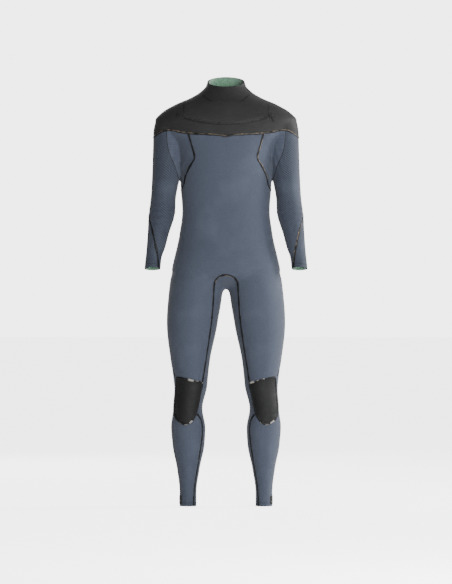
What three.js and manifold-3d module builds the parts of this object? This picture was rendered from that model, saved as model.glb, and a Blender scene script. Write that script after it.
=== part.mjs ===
// Full wetsuit, standing as it does on a wearer's body: millimetres, +Z up, the chest faces -Y.
// The left side of the wearer is +X. The suit is a neoprene skin, cut into panels along its seams.
import * as THREE from 'three';
import { mergeVertices } from 'three/addons/utils/BufferGeometryUtils.js';
import Module from 'manifold-3d';

const wasm = await Module();
wasm.setup();

// ---------------------------------------------------------------- driving sizes

const STATURE = 1500;          // floor to the neck rim at the nape
const BREADTH = 494;           // across both shoulders
const tall = STATURE / 1500;   // the pattern below is drawn for a stature of 1500 and a breadth
const wide = BREADTH / 494;    // of 494, and graded from there in height and in girth

const NEOPRENE = 4;            // wall of every panel
const SEAM_GAP = 0.3;          // between the edges of two panels
const LINING = 1.2;            // plush lining band inside each opening
const LINING_GAP = 0.3;        // between the neoprene and its lining
const LINING_DEPTH = 45;       // how far a lining band reaches into a sleeve or a leg
const NECK_LINING_DEPTH = 30;  // and into the collar

const RIM_FRONT_HEIGHT = 1462 * tall; // neck rim at the throat
const RIM_DEPTH = 130 * wide;         // throat to nape
const CUFF_FRONT_HEIGHT = 834 * tall; // sleeve end, palm side
const CUFF_BACK_HEIGHT = 822 * tall;  // sleeve end, back of the hand
const CUFF_DEPTH = 63 * wide;         // palm side to back of the hand
const BESIDE_HIP = 214 * wide;        // between the thigh and the sleeve's cuff

const ARMPIT = { x: 163.5 * wide, z: 1140 * tall };
const WAIST_SEAM_HEIGHT = 1000 * tall; // back panel to seat panel
const SIDE_SEAM_Y = 4 * wide;          // front panel to back panel
const SHOULDER_SEAM_Y = 6 * wide;      // chest yoke to back yoke, along the top of the shoulder

const SLEEVE_BAND = 60 * tall;         // height of the sleeve band that bends at the shoulder
const ELBOW_HEIGHT = 1015 * tall;
const ELBOW_BAND = 100 * tall;         // height of the band that bends at the elbow
const HIP_CREASE_HEIGHT = 756 * tall;  // where the two hip creases meet
const HIP_CREASE_SLOPE = (0.6 * tall) / wide; // rise of a crease for each millimetre outward
const HIP_BAND = 125 * tall;           // height of the band that bends at the hip
const KNEE_HEIGHT = 368 * tall;
const KNEE_BAND = 170 * tall;          // height of the band that bends at the knee

const BIB_HALF_WIDTH = 148 * wide;     // from the breastbone to each end of the zip
const BIB_TOP_HEIGHT = 1400 * tall;    // the bib hangs from here, under the collar
const BIB_FOLD_BAND = 24 * tall;       // height of the band that bends when the bib lifts

const ZIP_CHANNEL = 7;         // band left open between the bib and the yoke, across the zip plane
const TEETH_WIDTH = 1.6;       // one row of teeth, across the zip plane
const SLIDER = { length: 15, width: 10, height: 4, lug: 1.2 };
const SLIDER_CLEARANCE = 0.4;  // slider over the garage and beside the bib
const GARAGE = { width: 14, height: 2.4 };
const PULL = { length: 26, width: 6, thickness: 2, barrel: 2.1, pin: 0.8 };
const PULL_CLEARANCE = 0.4;
const STOP_LENGTH = 6;         // bar that ends the zip on the wearer's right
const ZIP_PAD_DEPTH = 8;       // how far the garage and the stop reach down to the skin

const TAB = { width: 12, height: 30, thickness: 3, bottom: 7 };

/** Rows of height, centre x, centre y, half width and half depth, graded to the size made. */
const graded = (rows) => rows.map(([z, ...rest]) => [z * tall, ...rest.map((v) => v * wide)]);

const TORSO_STATIONS = graded([
  [762, 0, 6, 44, 34],
  [786, 0, 8, 112, 78],
  [806, 0, 10, 160, 104],
  [828, 0, 10, 181, 112],
  [864, 0, 10, 178, 113],
  [946, 0, 5, 162, 101],
  [1030, 0, 0, 152, 96],
  [1113, 0, -1, 158, 106],
  [1200, 0, 0, 164, 114],
  [1265, 0, 1, 182, 116],
  [1315, 0, 2, 232, 112],
  [1345, 0, 3, 247, 107],
  [1372, 0, 4, 225, 100],
  [1403, 0, 6, 173, 90],
  [1424, 0, 8, 124, 80],
  [1445, 0, 10, 90, 72],
  [1468, 0, 12, 69, 66],
  [1490, 0, 13, 64, 64],
  [1530, 0, 14, 63, 63],
]);
const SLEEVE_STATIONS = graded([
  [800, 259, -10, 28, 31],
  [862, 253, -7, 28, 32],
  [904, 244, -4, 33, 38],
  [946, 237, -2, 37, 42],
  [1025, 223, 0, 46, 47],
  [1071, 219, 0, 44, 49],
  [1155, 209, 0, 49, 55],
  [1250, 202, 1, 53, 57],
  [1330, 198, 2, 50, 54],
  [1360, 195, 3, 30, 36],
]);
const LEG_STATIONS = graded([
  [-25, 132.5, 2, 29.5, 41],
  [45, 132.5, 2, 29.5, 41],
  [129, 131.5, 7, 39.5, 49],
  [213, 131, 12, 56, 61],
  [275, 132, 11, 60, 64],
  [339, 133.5, 3, 51.5, 62],
  [422, 123, -1, 58, 66],
  [506, 124, 1, 68, 75],
  [632, 118, 4, 88, 88],
  [715, 109, 6, 93, 95],
  [780, 101, 8, 94, 100],
  [840, 92, 9, 80, 92],
]);

/** Points of the front view, x from the middle and height, graded to the size made. */
const drawn = (points) => points.map(([x, z]) => [x * wide, z * tall]);

// Seams of the left side. Each runs from its top to its bottom.
const YOKE_EDGE = drawn([[0, 1285], [34, 1291], [131, 1297], [207, 1309], [250, 1288], [330, 1248]]);
const [, , YOKE_AT_CHEST, YOKE_AT_ARMHOLE, YOKE_ROUND_SLEEVE] = YOKE_EDGE;
const PRINCESS_SEAM = [
  YOKE_AT_CHEST,
  ...drawn([[107, 1211], [125, 1184], [143, 1143], [147, 1118], [175, 1075]]),
];
const ARMHOLE_SEAM = [
  YOKE_AT_ARMHOLE,
  ...drawn([[204, 1260], [196, 1226], [180, 1190]]),
  [ARMPIT.x, ARMPIT.z],
];
const FOREARM_SEAM = [
  [272 * wide, ELBOW_HEIGHT],
  ...drawn([[260, 975], [248, 923], [238, 870], [234, 800]]),
];
const GUSSET_SEAM = drawn([
  [0, 806],
  [10, 805],
  [40, 777],
  [43, 737],
  [48, 666],
  [58, 586],
  [82, 431],
]);
const CALF_SEAM = drawn([
  [104, 330],
  [87, 303],
  [83, 284],
  [83, 243],
  [94, 164],
  [110, 60],
  [113, -30],
]);
const KNEE_PAD_EDGE = drawn([
  [172, 451],
  [84, 431],
  [92, 378],
  [105, 322],
  [120, 295],
  [140, 286],
  [163, 296],
  [180, 322],
  [176, 378],
]);
const COLLAR_EDGE = drawn([[0, 1401], [53, 1411], [88, 1438], [140, 1462]]);

// The zip runs on a circle in a tilted plane, from shoulder to shoulder under the throat. The
// circle goes through the skin at the breastbone and, a little higher, near each end of the zip.
const drawnTilt = THREE.MathUtils.degToRad(42.6);
const downhill = new THREE.Vector2(Math.cos(drawnTilt) * wide, Math.sin(drawnTilt) * tall);
const ZIP_TILT = downhill.angle();
const ZIP_AXIS = new THREE.Vector3(0, Math.sin(ZIP_TILT), -Math.cos(ZIP_TILT));
const ZIP_DOWN = new THREE.Vector3(0, -Math.cos(ZIP_TILT), -Math.sin(ZIP_TILT));
const ZIP_FRONT = new THREE.Vector3(0, -109.037 * wide, 1330.507 * tall);
const ZIP_REACH = 155.9 * wide;               // breastbone to the circle's point near an end
const ZIP_RISE = 43.184 * downhill.length();  // and how much nearer to the neck that point lies
const ZIP_RADIUS = (ZIP_RISE ** 2 + ZIP_REACH ** 2) / (2 * ZIP_RISE);
const ZIP_CENTRE = ZIP_FRONT.clone().addScaledVector(ZIP_DOWN, -ZIP_RADIUS);
const ACROSS_CHEST = new THREE.Vector3(1, 0, 0);
const SKIN_RISE = Math.atan((Math.tan(THREE.MathUtils.degToRad(13.4)) * wide) / tall);
const TRACK_LEAN = ZIP_TILT + SKIN_RISE;      // the skin leans this far out of the zip plane

// Distances clear of the suit, for the far sides of a cut's outline.
const FAR = 900;
const CLEAR_X = 420 * wide;
const CLEAR_TOP = 1560 * tall;
const CLEAR_BOTTOM = -60;
const ACROSS_MIDDLE = -90 * wide;

// ---------------------------------------------------------------- materials

const LOOKS = {
  slate: { color: 0x566070, roughness: 0.85, metalness: 0 },
  black: { color: 0x353535, roughness: 0.75, metalness: 0 },
  pad: { color: 0x262727, roughness: 0.5, metalness: 0 },
  lining: { color: 0x5f8c6e, roughness: 0.95, metalness: 0 },
  plastic: { color: 0x1c1c1e, roughness: 0.4, metalness: 0 },
};

// ---------------------------------------------------------------- solids

/** A three.js geometry as a manifold solid. */
function solidOf(geometry) {
  const bare = geometry.clone();
  bare.deleteAttribute('normal');
  bare.deleteAttribute('uv');
  const merged = mergeVertices(bare, 1e-4);
  return new wasm.Manifold(new wasm.Mesh({
    numProp: 3,
    vertProperties: Float32Array.from(merged.attributes.position.array),
    triVerts: Uint32Array.from(merged.index.array),
  }));
}

/** Slope of a curve at a station between two straight stretches, flat at a peak or a dip. */
function easedSlope(before, after) {
  return before * after <= 0 ? 0 : (2 * before * after) / (before + after);
}

/** Value of a smooth curve through the stations at a height, column by column, no overshoot. */
function stationAt(stations, height) {
  let i = 0;
  while (i < stations.length - 2 && height > stations[i + 1][0]) i += 1;
  const rows = [-1, 0, 1, 2].map((step) => (
    stations[THREE.MathUtils.clamp(i + step, 0, stations.length - 1)]));
  const [before, low, high, after] = rows;
  const span = high[0] - low[0];
  const t = (height - low[0]) / span;
  return low.map((value, column) => {
    if (column === 0) return height;
    const middle = (high[column] - value) / span;
    const first = low === before ? middle : (value - before[column]) / (low[0] - before[0]);
    const last = high === after ? middle : (after[column] - high[column]) / (after[0] - high[0]);
    const rise = high[column] - value;
    const a = easedSlope(first, middle) * span - rise;
    const b = rise - easedSlope(middle, last) * span;
    return value + rise * t + t * (1 - t) * (a * (1 - t) + b * t);
  });
}

/** A closed tube of oval rings through the stations. Inset shrinks every ring by that much. */
function loft(stations, { inset = 0, rings, around, raise = 0 }) {
  const bottom = stations[0][0] + raise;
  const top = stations[stations.length - 1][0];
  const points = [];
  for (let r = 0; r <= rings; r += 1) {
    const [z, cx, cy, width, depth] = stationAt(stations, bottom + ((top - bottom) * r) / rings);
    for (let s = 0; s < around; s += 1) {
      const angle = (2 * Math.PI * s) / around;
      points.push(cx + (width - inset) * Math.cos(angle), cy + (depth - inset) * Math.sin(angle), z);
    }
  }
  const faces = [];
  for (let r = 0; r < rings; r += 1) {
    for (let s = 0; s < around; s += 1) {
      const a = r * around + s;
      const b = r * around + ((s + 1) % around);
      faces.push(a, b, b + around, a, b + around, a + around);
    }
  }
  const lid = rings * around;
  for (let s = 1; s < around - 1; s += 1) {
    faces.push(0, s + 1, s);
    faces.push(lid, lid + s, lid + s + 1);
  }
  const geometry = new THREE.BufferGeometry();
  geometry.setAttribute('position', new THREE.Float32BufferAttribute(points, 3));
  geometry.setIndex(faces);
  return solidOf(geometry);
}

const mirrored = (solid) => solid.mirror([1, 0, 0]);

/** The whole suit as one solid, every wall drawn in by the inset. */
function body(inset) {
  const torso = loft(TORSO_STATIONS, { inset, rings: 24, around: 28, raise: Math.max(inset, 0) });
  const sleeve = loft(SLEEVE_STATIONS, { inset, rings: 14, around: 14 });
  const leg = loft(LEG_STATIONS, { inset, rings: 20, around: 16 });
  return wasm.Manifold.union([torso, sleeve, mirrored(sleeve), leg, mirrored(leg)]);
}

/** An outline of the front view, pushed through the suit from one depth to another. */
function through(outline, from = -FAR, to = FAR) {
  const shape = new THREE.Shape(outline.map(([x, z]) => new THREE.Vector2(x, z)));
  const geometry = new THREE.ExtrudeGeometry(shape, { depth: to - from, bevelEnabled: false });
  geometry.rotateX(Math.PI / 2);
  geometry.translate(0, to, 0);
  return solidOf(geometry);
}

/** The outline moved outward by a distance, corners kept sharp. */
function grown(outline, distance) {
  const turn = THREE.ShapeUtils.area(outline.map(([x, y]) => ({ x, y }))) > 0 ? 1 : -1;
  return outline.map(([x, z], i) => {
    const [px, pz] = outline[(i + outline.length - 1) % outline.length];
    const [nx, nz] = outline[(i + 1) % outline.length];
    const before = new THREE.Vector2(z - pz, px - x).normalize();
    const after = new THREE.Vector2(nz - z, x - nx).normalize();
    const normal = before.clone().add(after).normalize();
    const reach = (turn * distance) / Math.max(normal.dot(after), 0.4);
    return [x + normal.x * reach, z + normal.y * reach];
  });
}

/** Both sides of an outline cut out of a solid, a seam's gap apart. */
function cut(solid, outline, from = -FAR, to = FAR) {
  const inside = solid.intersect(through(grown(outline, -SEAM_GAP / 2), from, to));
  const outside = solid.subtract(through(grown(outline, SEAM_GAP / 2), from, to));
  return [inside, outside];
}

/** Both sides of a plane through a point: [the side its normal points to, the other]. */
function halves(solid, normal, point, gap = SEAM_GAP) {
  const n = new THREE.Vector3(...normal).normalize();
  const level = n.dot(new THREE.Vector3(...point));
  const ahead = solid.trimByPlane(n.toArray(), level + gap / 2);
  const behind = solid.trimByPlane(n.clone().negate().toArray(), -level + gap / 2);
  return [ahead, behind];
}

/** The largest connected piece of a solid: slivers left by a cut are dropped. */
function largest(solid) {
  const pieces = solid.decompose();
  return pieces.reduce((best, piece) => (piece.volume() > best.volume() ? piece : best));
}

const reversed = (list) => list.slice().reverse();
const flipped = (list) => list.map(([x, z]) => [-x, z]);

/** A seam of the left side and its mirror, joined into one line from right to left. */
const bothSides = (seam) => [...reversed(flipped(seam.filter(([x]) => x > 0))), ...seam];

// ---------------------------------------------------------------- scene

const suit = new THREE.Group();

/** Adds one solid to the suit as a named mesh. */
function add(name, solid, look) {
  const { vertProperties, triVerts } = largest(solid).getMesh();
  const geometry = new THREE.BufferGeometry();
  geometry.setAttribute('position', new THREE.Float32BufferAttribute(vertProperties, 3));
  geometry.setIndex(Array.from(triVerts));
  geometry.computeVertexNormals();
  const mesh = new THREE.Mesh(geometry, new THREE.MeshStandardMaterial(LOOKS[look]));
  mesh.name = name;
  suit.add(mesh);
}

/** Adds a left solid and its mirror image. */
function addPair(name, solid, look) {
  add(`left_${name}`, solid, look);
  add(`right_${name}`, mirrored(solid), look);
}

// ---------------------------------------------------------------- the skin and its openings

const rimSlope = (STATURE - RIM_FRONT_HEIGHT) / RIM_DEPTH;
const RIM_NORMAL = [0, -rimSlope, 1];
const RIM_POINT = [0, -54 * wide, RIM_FRONT_HEIGHT];
const cuffSlope = (CUFF_FRONT_HEIGHT - CUFF_BACK_HEIGHT) / CUFF_DEPTH;
const CUFF_NORMAL = [0, cuffSlope, 1];
const CUFF_POINT = [0, -41 * wide, CUFF_FRONT_HEIGHT];

/** Cuts the neck, the sleeves and the legs open. */
function openEnds(solid) {
  const [, neckOpen] = halves(solid, RIM_NORMAL, RIM_POINT, 0);
  const [overFloor] = halves(neckOpen, [0, 0, 1], [0, 0, 0], 0);
  const beside = through([
    [BESIDE_HIP, KNEE_HEIGHT],
    [CLEAR_X, KNEE_HEIGHT],
    [CLEAR_X, ELBOW_HEIGHT],
    [BESIDE_HIP, ELBOW_HEIGHT],
  ]);
  const [, leftEnd] = halves(beside, CUFF_NORMAL, CUFF_POINT, 0);
  return overFloor.subtract(leftEnd).subtract(mirrored(leftEnd));
}

const skin = openEnds(body(0).subtract(body(NEOPRENE)));

// ---------------------------------------------------------------- arms, from the skin outward

const sleeveTop = [
  ...ARMHOLE_SEAM,
  ...drawn([[164, 1000], [204, 790], [330, 790]]),
  ...reversed(YOKE_EDGE.slice(4)),
];
const [leftSleeve, withoutLeftSleeve] = cut(skin, sleeveTop);
const [, trunkAndLegs] = cut(withoutLeftSleeve, flipped(sleeveTop));

const bandSlope = (YOKE_ROUND_SLEEVE[1] - ARMPIT.z) / (YOKE_ROUND_SLEEVE[0] - ARMPIT.x);
const BAND_NORMAL = [-bandSlope, 0, 1];
const [sleeveBand, belowBand] = halves(
  leftSleeve, BAND_NORMAL, [ARMPIT.x, 0, ARMPIT.z - SLEEVE_BAND],
);
const [upperArm, belowUpperArm] = halves(
  belowBand, [0, 0, 1], [0, 0, ELBOW_HEIGHT + ELBOW_BAND / 2],
);
const [elbow, forearm] = halves(
  belowUpperArm, [0, 0, 1], [0, 0, ELBOW_HEIGHT - ELBOW_BAND / 2],
);
const [forearmOuter, forearmInner] = cut(forearm, [
  ...FOREARM_SEAM,
  [CLEAR_X, KNEE_HEIGHT],
  [CLEAR_X, ELBOW_HEIGHT],
]);

addPair('sleeve_top', sleeveBand, 'slate');
addPair('upper_sleeve', upperArm, 'slate');
addPair('elbow_panel', elbow, 'slate');
addPair('forearm_outer_panel', forearmOuter, 'slate');
addPair('forearm_inner_panel', forearmInner, 'slate');

// ---------------------------------------------------------------- legs

const creaseAt = (x, drop) => HIP_CREASE_HEIGHT - drop + HIP_CREASE_SLOPE * Math.abs(x);
const legsOutline = [
  [-CLEAR_X, creaseAt(CLEAR_X, 0)],
  [0, creaseAt(0, 0)],
  [CLEAR_X, creaseAt(CLEAR_X, 0)],
  [CLEAR_X, CLEAR_BOTTOM],
  [-CLEAR_X, CLEAR_BOTTOM],
];
const [bothLegs, trunk] = cut(trunkAndLegs, legsOutline);
const [leftLeg] = halves(bothLegs, [1, 0, 0], [0, 0, 0]);

const [hipBand, belowHip] = cut(leftLeg, [
  [ACROSS_MIDDLE, creaseAt(CLEAR_X, 0)],
  [ACROSS_MIDDLE, creaseAt(0, HIP_BAND)],
  [0, creaseAt(0, HIP_BAND)],
  [CLEAR_X, creaseAt(CLEAR_X, HIP_BAND)],
  [CLEAR_X, creaseAt(CLEAR_X, 0)],
]);
const [thigh, belowThigh] = halves(belowHip, [0, 0, 1], [0, 0, KNEE_HEIGHT + KNEE_BAND / 2]);
const [knee, shin] = halves(belowThigh, [0, 0, 1], [0, 0, KNEE_HEIGHT - KNEE_BAND / 2]);

const innerLeg = [
  ...GUSSET_SEAM,
  [ACROSS_MIDDLE, GUSSET_SEAM[GUSSET_SEAM.length - 1][1]],
  [ACROSS_MIDDLE, GUSSET_SEAM[0][1]],
];
const [hipInner, hipOuter] = cut(hipBand, innerLeg);
const [thighInner, thighOuter] = cut(thigh, innerLeg);
const [kneePad, kneeBack] = cut(knee, KNEE_PAD_EDGE, -FAR, 0);
const [calfStrip, shinPanel] = cut(shin, [
  ...CALF_SEAM,
  [ACROSS_MIDDLE, CALF_SEAM[CALF_SEAM.length - 1][1]],
  [ACROSS_MIDDLE, CALF_SEAM[0][1]],
]);

addPair('hip_panel', hipOuter, 'slate');
addPair('upper_gusset', hipInner, 'slate');
addPair('thigh_panel', thighOuter, 'slate');
addPair('inner_thigh_panel', thighInner, 'slate');
addPair('knee_pad', kneePad, 'pad');
addPair('knee_back_panel', kneeBack, 'slate');
addPair('shin_panel', shinPanel, 'slate');
addPair('calf_panel', calfStrip, 'slate');

const [, besideTab] = halves(shinPanel, [0, 0, 1], [0, 0, TAB.bottom + TAB.height], 0);
const ankleSide = besideTab.boundingBox().max[0];
const tab = new THREE.BoxGeometry(TAB.thickness, TAB.width, TAB.height);
tab.translate(
  ankleSide + SEAM_GAP + TAB.thickness / 2, LEG_STATIONS[0][2], TAB.bottom + TAB.height / 2,
);
addPair('ankle_tab', solidOf(tab), 'black');

// ---------------------------------------------------------------- trunk

const yokeOutline = [...bothSides(YOKE_EDGE), [CLEAR_X, CLEAR_TOP], [-CLEAR_X, CLEAR_TOP]];
const [yokeAll, belowYoke] = cut(trunk, yokeOutline);
const [crotchGusset, trunkPanels] = cut(belowYoke, [
  ...bothSides(GUSSET_SEAM.slice(0, 3)),
  [GUSSET_SEAM[2][0], KNEE_HEIGHT],
  [-GUSSET_SEAM[2][0], KNEE_HEIGHT],
]);
const sidePanelOutline = [
  ...PRINCESS_SEAM,
  [CLEAR_X, PRINCESS_SEAM[PRINCESS_SEAM.length - 1][1]],
  [CLEAR_X, CLEAR_TOP],
  [YOKE_AT_CHEST[0], CLEAR_TOP],
];
const [leftSide, withoutLeftSide] = cut(trunkPanels, sidePanelOutline);
const [, frontAndBack] = cut(withoutLeftSide, flipped(sidePanelOutline));
const [back, front] = halves(frontAndBack, [0, 1, 0], [0, SIDE_SEAM_Y, 0]);
const [backPanel, seatPanel] = halves(back, [0, 0, 1], [0, 0, WAIST_SEAM_HEIGHT]);

add('front_panel', front, 'slate');
add('back_panel', backPanel, 'slate');
add('seat_panel', seatPanel, 'slate');
add('crotch_gusset', crotchGusset, 'slate');
addPair('side_panel', leftSide, 'slate');

// ---------------------------------------------------------------- yoke, neck flap and zip

const zipNormal = ZIP_AXIS.toArray();
const zipPlane = (across) => ZIP_CENTRE.clone().addScaledVector(ZIP_AXIS, across).toArray();

/** A point at a radius and an angle, counted from the breastbone to the wearer's left. */
function onZip(radius, angle) {
  return ZIP_CENTRE.clone()
    .addScaledVector(ZIP_DOWN, radius * Math.cos(angle))
    .addScaledVector(ACROSS_CHEST, radius * Math.sin(angle));
}

const space = solidOf(new THREE.BoxGeometry(2 * FAR, 2 * FAR, 4 * FAR));

/** The part of space on the named sides of several planes. */
function corner(...sides) {
  return sides.reduce((solid, [normal, point]) => halves(solid, normal, point, 0)[0], space);
}

const away = (normal) => normal.map((value) => -value);
const halfChannel = ZIP_CHANNEL / 2;

/** The bib's side of the zip plane, between the zip's two ends, on the front of the suit. */
function flapFront(across, shrink) {
  return corner(
    [away(zipNormal), zipPlane(across)],
    [[1, 0, 0], [shrink - BIB_HALF_WIDTH, 0, 0]],
    [[-1, 0, 0], [BIB_HALF_WIDTH - shrink, 0, 0]],
    [[0, -1, 0], [0, 0, 0]],
  );
}

const collarOutline = [
  ...bothSides(COLLAR_EDGE),
  [COLLAR_EDGE[3][0], CLEAR_TOP],
  [-COLLAR_EDGE[3][0], CLEAR_TOP],
];
const [collar, belowCollar] = cut(yokeAll, collarOutline);
const bibSpace = flapFront(-halfChannel, SEAM_GAP)
  .subtract(corner([[0, 0, 1], [0, 0, BIB_TOP_HEIGHT - SEAM_GAP]]));
const channelSpace = flapFront(halfChannel, 0).subtract(corner([[0, 0, 1], [0, 0, BIB_TOP_HEIGHT]]));
const shoulders = belowCollar.subtract(channelSpace);
const [bibFold, bib] = halves(
  belowCollar.intersect(bibSpace), [0, 0, 1], [0, 0, BIB_TOP_HEIGHT - BIB_FOLD_BAND],
);
const zipBand = belowCollar.intersect(flapFront(halfChannel - SEAM_GAP, SEAM_GAP))
  .subtract(flapFront(SEAM_GAP - halfChannel, 0));
const [tapeBelow, tapeAbove] = halves(zipBand, zipNormal, zipPlane(0));

// The teeth fill the outer half of the band beside the zip's middle, the tape lies behind them.
const teethSlab = corner(
  [away(zipNormal), zipPlane(TEETH_WIDTH)],
  [zipNormal, zipPlane(-TEETH_WIDTH)],
  [[0, -1, 0], [0, 0, 0]],
);
const outerHalf = teethSlab.subtract(body(NEOPRENE / 2));
const outerHalfCut = corner(
  [away(zipNormal), zipPlane(TEETH_WIDTH + SEAM_GAP)],
  [zipNormal, zipPlane(-TEETH_WIDTH - SEAM_GAP)],
).subtract(body(NEOPRENE / 2 + SEAM_GAP));

const [yokeBack, yokeFront] = halves(shoulders, [0, 1, 0], [0, SHOULDER_SEAM_Y, 0]);
add('collar', collar, 'black');
add('neck_bib', bib, 'black');
add('bib_fold', bibFold, 'black');
add('chest_yoke', yokeFront, 'black');
add('back_yoke', yokeBack, 'black');
add('zip_lower_tape', tapeBelow.subtract(outerHalfCut), 'black');
add('zip_upper_tape', tapeAbove.subtract(outerHalfCut), 'black');
add('zip_lower_teeth', tapeBelow.intersect(outerHalf), 'plastic');
add('zip_upper_teeth', tapeAbove.intersect(outerHalf), 'plastic');

// ---------------------------------------------------------------- slider, pull, garage and stop

/** Places a solid that is built with X along the zip, Y across it and Z out of the skin. */
function onTrack(solid, angle) {
  const along = ACROSS_CHEST.clone().multiplyScalar(Math.cos(angle))
    .addScaledVector(ZIP_DOWN, -Math.sin(angle));
  const outward = ACROSS_CHEST.clone().multiplyScalar(Math.sin(angle))
    .addScaledVector(ZIP_DOWN, Math.cos(angle))
    .multiplyScalar(Math.cos(TRACK_LEAN))
    .addScaledVector(ZIP_AXIS, -Math.sin(TRACK_LEAN));
  const across = outward.clone().cross(along);
  const place = new THREE.Matrix4().makeBasis(along, across, outward)
    .setPosition(onZip(ZIP_RADIUS, angle));
  return solid.transform(place.elements);
}

/** A box by its middle and its size. */
function block(size, middle) {
  return solidOf(new THREE.BoxGeometry(...size).translate(...middle));
}

/** A rod or a drum along X, by its radius, length and height over the track. */
function rodAlong(radius, length, height, sides = 16) {
  const rod = new THREE.CylinderGeometry(radius, radius, length, sides);
  rod.rotateZ(Math.PI / 2);
  rod.translate(0, 0, height);
  return solidOf(rod);
}

const parkedAngle = Math.asin((BIB_HALF_WIDTH + SLIDER_CLEARANCE + SLIDER.length / 2) / ZIP_RADIUS);
const lugHeight = SLIDER.height + PULL.barrel + PULL_CLEARANCE;
const lugX = PULL.width / 2 + PULL_CLEARANCE + SLIDER.lug / 2;
const lugs = [-lugX, lugX].map((x) => block(
  [SLIDER.lug, 2 * PULL.barrel, lugHeight + PULL.barrel],
  [x, 0, (lugHeight + PULL.barrel) / 2],
));
const slider = wasm.Manifold.union([
  block([SLIDER.length, SLIDER.width, SLIDER.height], [0, 0, SLIDER.height / 2]),
  ...lugs,
  rodAlong(PULL.pin, 2 * lugX, lugHeight),
]);
const pull = wasm.Manifold.union([
  rodAlong(PULL.barrel, PULL.width, lugHeight),
  block([PULL.width, PULL.length, PULL.thickness], [0, -PULL.length / 2, lugHeight]),
]).subtract(rodAlong(PULL.pin + PULL_CLEARANCE / 2, 2 * PULL.width, lugHeight));

/** A pad that fills the room between the skin and the slider's path. */
function padUnder(length, width, height) {
  return block([length, width, height + ZIP_PAD_DEPTH], [0, 0, (height - ZIP_PAD_DEPTH) / 2]);
}

const overSkin = body(-SEAM_GAP);
const garage = onTrack(padUnder(SLIDER.length, GARAGE.width, -SLIDER_CLEARANCE), parkedAngle)
  .subtract(overSkin);
const stop = onTrack(padUnder(STOP_LENGTH, GARAGE.width, GARAGE.height), -parkedAngle
  - (SLIDER.length / 2 + STOP_LENGTH / 2 + SLIDER_CLEARANCE) / ZIP_RADIUS).subtract(overSkin);
add('zip_garage', garage, 'black');
add('zip_stop', stop, 'plastic');
add('zip_slider', onTrack(slider, parkedAngle), 'plastic');
add('zip_pull', onTrack(pull, parkedAngle), 'plastic');

// ---------------------------------------------------------------- lining bands

const liningLayer = openEnds(
  body(NEOPRENE + LINING_GAP).subtract(body(NEOPRENE + LINING_GAP + LINING)),
);
const neckBand = halves(
  liningLayer, RIM_NORMAL, [0, RIM_POINT[1], RIM_FRONT_HEIGHT - NECK_LINING_DEPTH], 0,
)[0];
const cuffBand = halves(
  halves(liningLayer, [1, 0, 0], [BESIDE_HIP, 0, 0], 0)[0],
  CUFF_NORMAL, [0, CUFF_POINT[1], CUFF_FRONT_HEIGHT + LINING_DEPTH], 0,
)[1];
const ankleBand = halves(
  halves(liningLayer, [1, 0, 0], [0, 0, 0], 0)[0], [0, 0, 1], [0, 0, LINING_DEPTH], 0,
)[1];
add('collar_lining', neckBand, 'lining');
addPair('cuff_lining', cuffBand, 'lining');
addPair('ankle_lining', ankleBand, 'lining');

export default suit;
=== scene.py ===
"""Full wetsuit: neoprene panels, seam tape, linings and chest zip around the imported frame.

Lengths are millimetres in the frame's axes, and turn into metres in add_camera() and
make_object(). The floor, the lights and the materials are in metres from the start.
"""
import math

import bpy
import numpy as np
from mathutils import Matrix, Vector


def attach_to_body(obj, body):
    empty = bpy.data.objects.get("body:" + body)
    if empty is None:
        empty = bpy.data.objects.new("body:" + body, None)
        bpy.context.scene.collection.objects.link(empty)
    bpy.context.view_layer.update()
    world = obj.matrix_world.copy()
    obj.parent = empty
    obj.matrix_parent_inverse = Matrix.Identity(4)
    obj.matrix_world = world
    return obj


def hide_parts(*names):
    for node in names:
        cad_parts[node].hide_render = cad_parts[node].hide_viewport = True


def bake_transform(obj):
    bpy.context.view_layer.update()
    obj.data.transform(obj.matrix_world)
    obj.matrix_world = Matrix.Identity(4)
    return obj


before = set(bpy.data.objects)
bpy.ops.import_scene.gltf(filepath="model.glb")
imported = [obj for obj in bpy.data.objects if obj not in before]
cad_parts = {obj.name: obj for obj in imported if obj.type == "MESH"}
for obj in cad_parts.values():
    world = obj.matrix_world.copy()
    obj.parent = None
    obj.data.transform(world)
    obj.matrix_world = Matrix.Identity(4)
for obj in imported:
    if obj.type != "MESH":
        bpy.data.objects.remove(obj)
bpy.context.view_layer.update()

METRES = 0.001
SIDES = (("left", 1), ("right", -1))

# ---------------------------------------------------------------- camera, floor and light

VIEW_HEIGHT = 746.5        # the camera's own height; it looks level
VIEW_SPAN = 2038.0         # height that the frame takes in at the suit
CAMERA_DISTANCE = 16000.0
SENSOR = 36.0

FLOOR_SIZE, FLOOR_DROP = 60.0, 0.002  # metres
FLOOR_SEEN, BACKDROP_SEEN = 3.8, 4.4
SKY_LIGHT = 0.16
# Name, place, target, size and power.
LIGHTS = [
    ("key", (1.5, -4.6, 1.6), (0, 0, 0.8), 2.0, 218.0),
    ("rim", (3.2, 0.6, 1.8), (0, 0, 0.9), 1.2, 150.0),
    ("back", (-1.6, 4.4, 2.4), (0, 0, 0.9), 2.0, 120.0),
]


def add_object(name, data):
    holder = bpy.data.objects.new(name, data)
    bpy.context.scene.collection.objects.link(holder)
    return holder


def add_camera():
    camera = bpy.data.cameras.new("camera")
    camera.sensor_width = SENSOR
    camera.lens = SENSOR * CAMERA_DISTANCE / VIEW_SPAN
    holder = add_object("camera", camera)
    holder.location = Vector((0, -CAMERA_DISTANCE, VIEW_HEIGHT)) * METRES
    holder.rotation_euler = (math.radians(90), 0, 0)
    bpy.context.scene.camera = holder


def add_area_light(name, place, target, size, power):
    light = bpy.data.lights.new(name, "AREA")
    light.energy = power
    light.size = size
    holder = add_object(name, light)
    holder.location = place
    holder.rotation_euler = (Vector(target) - Vector(place)).to_track_quat("-Z", "Y").to_euler()


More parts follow.
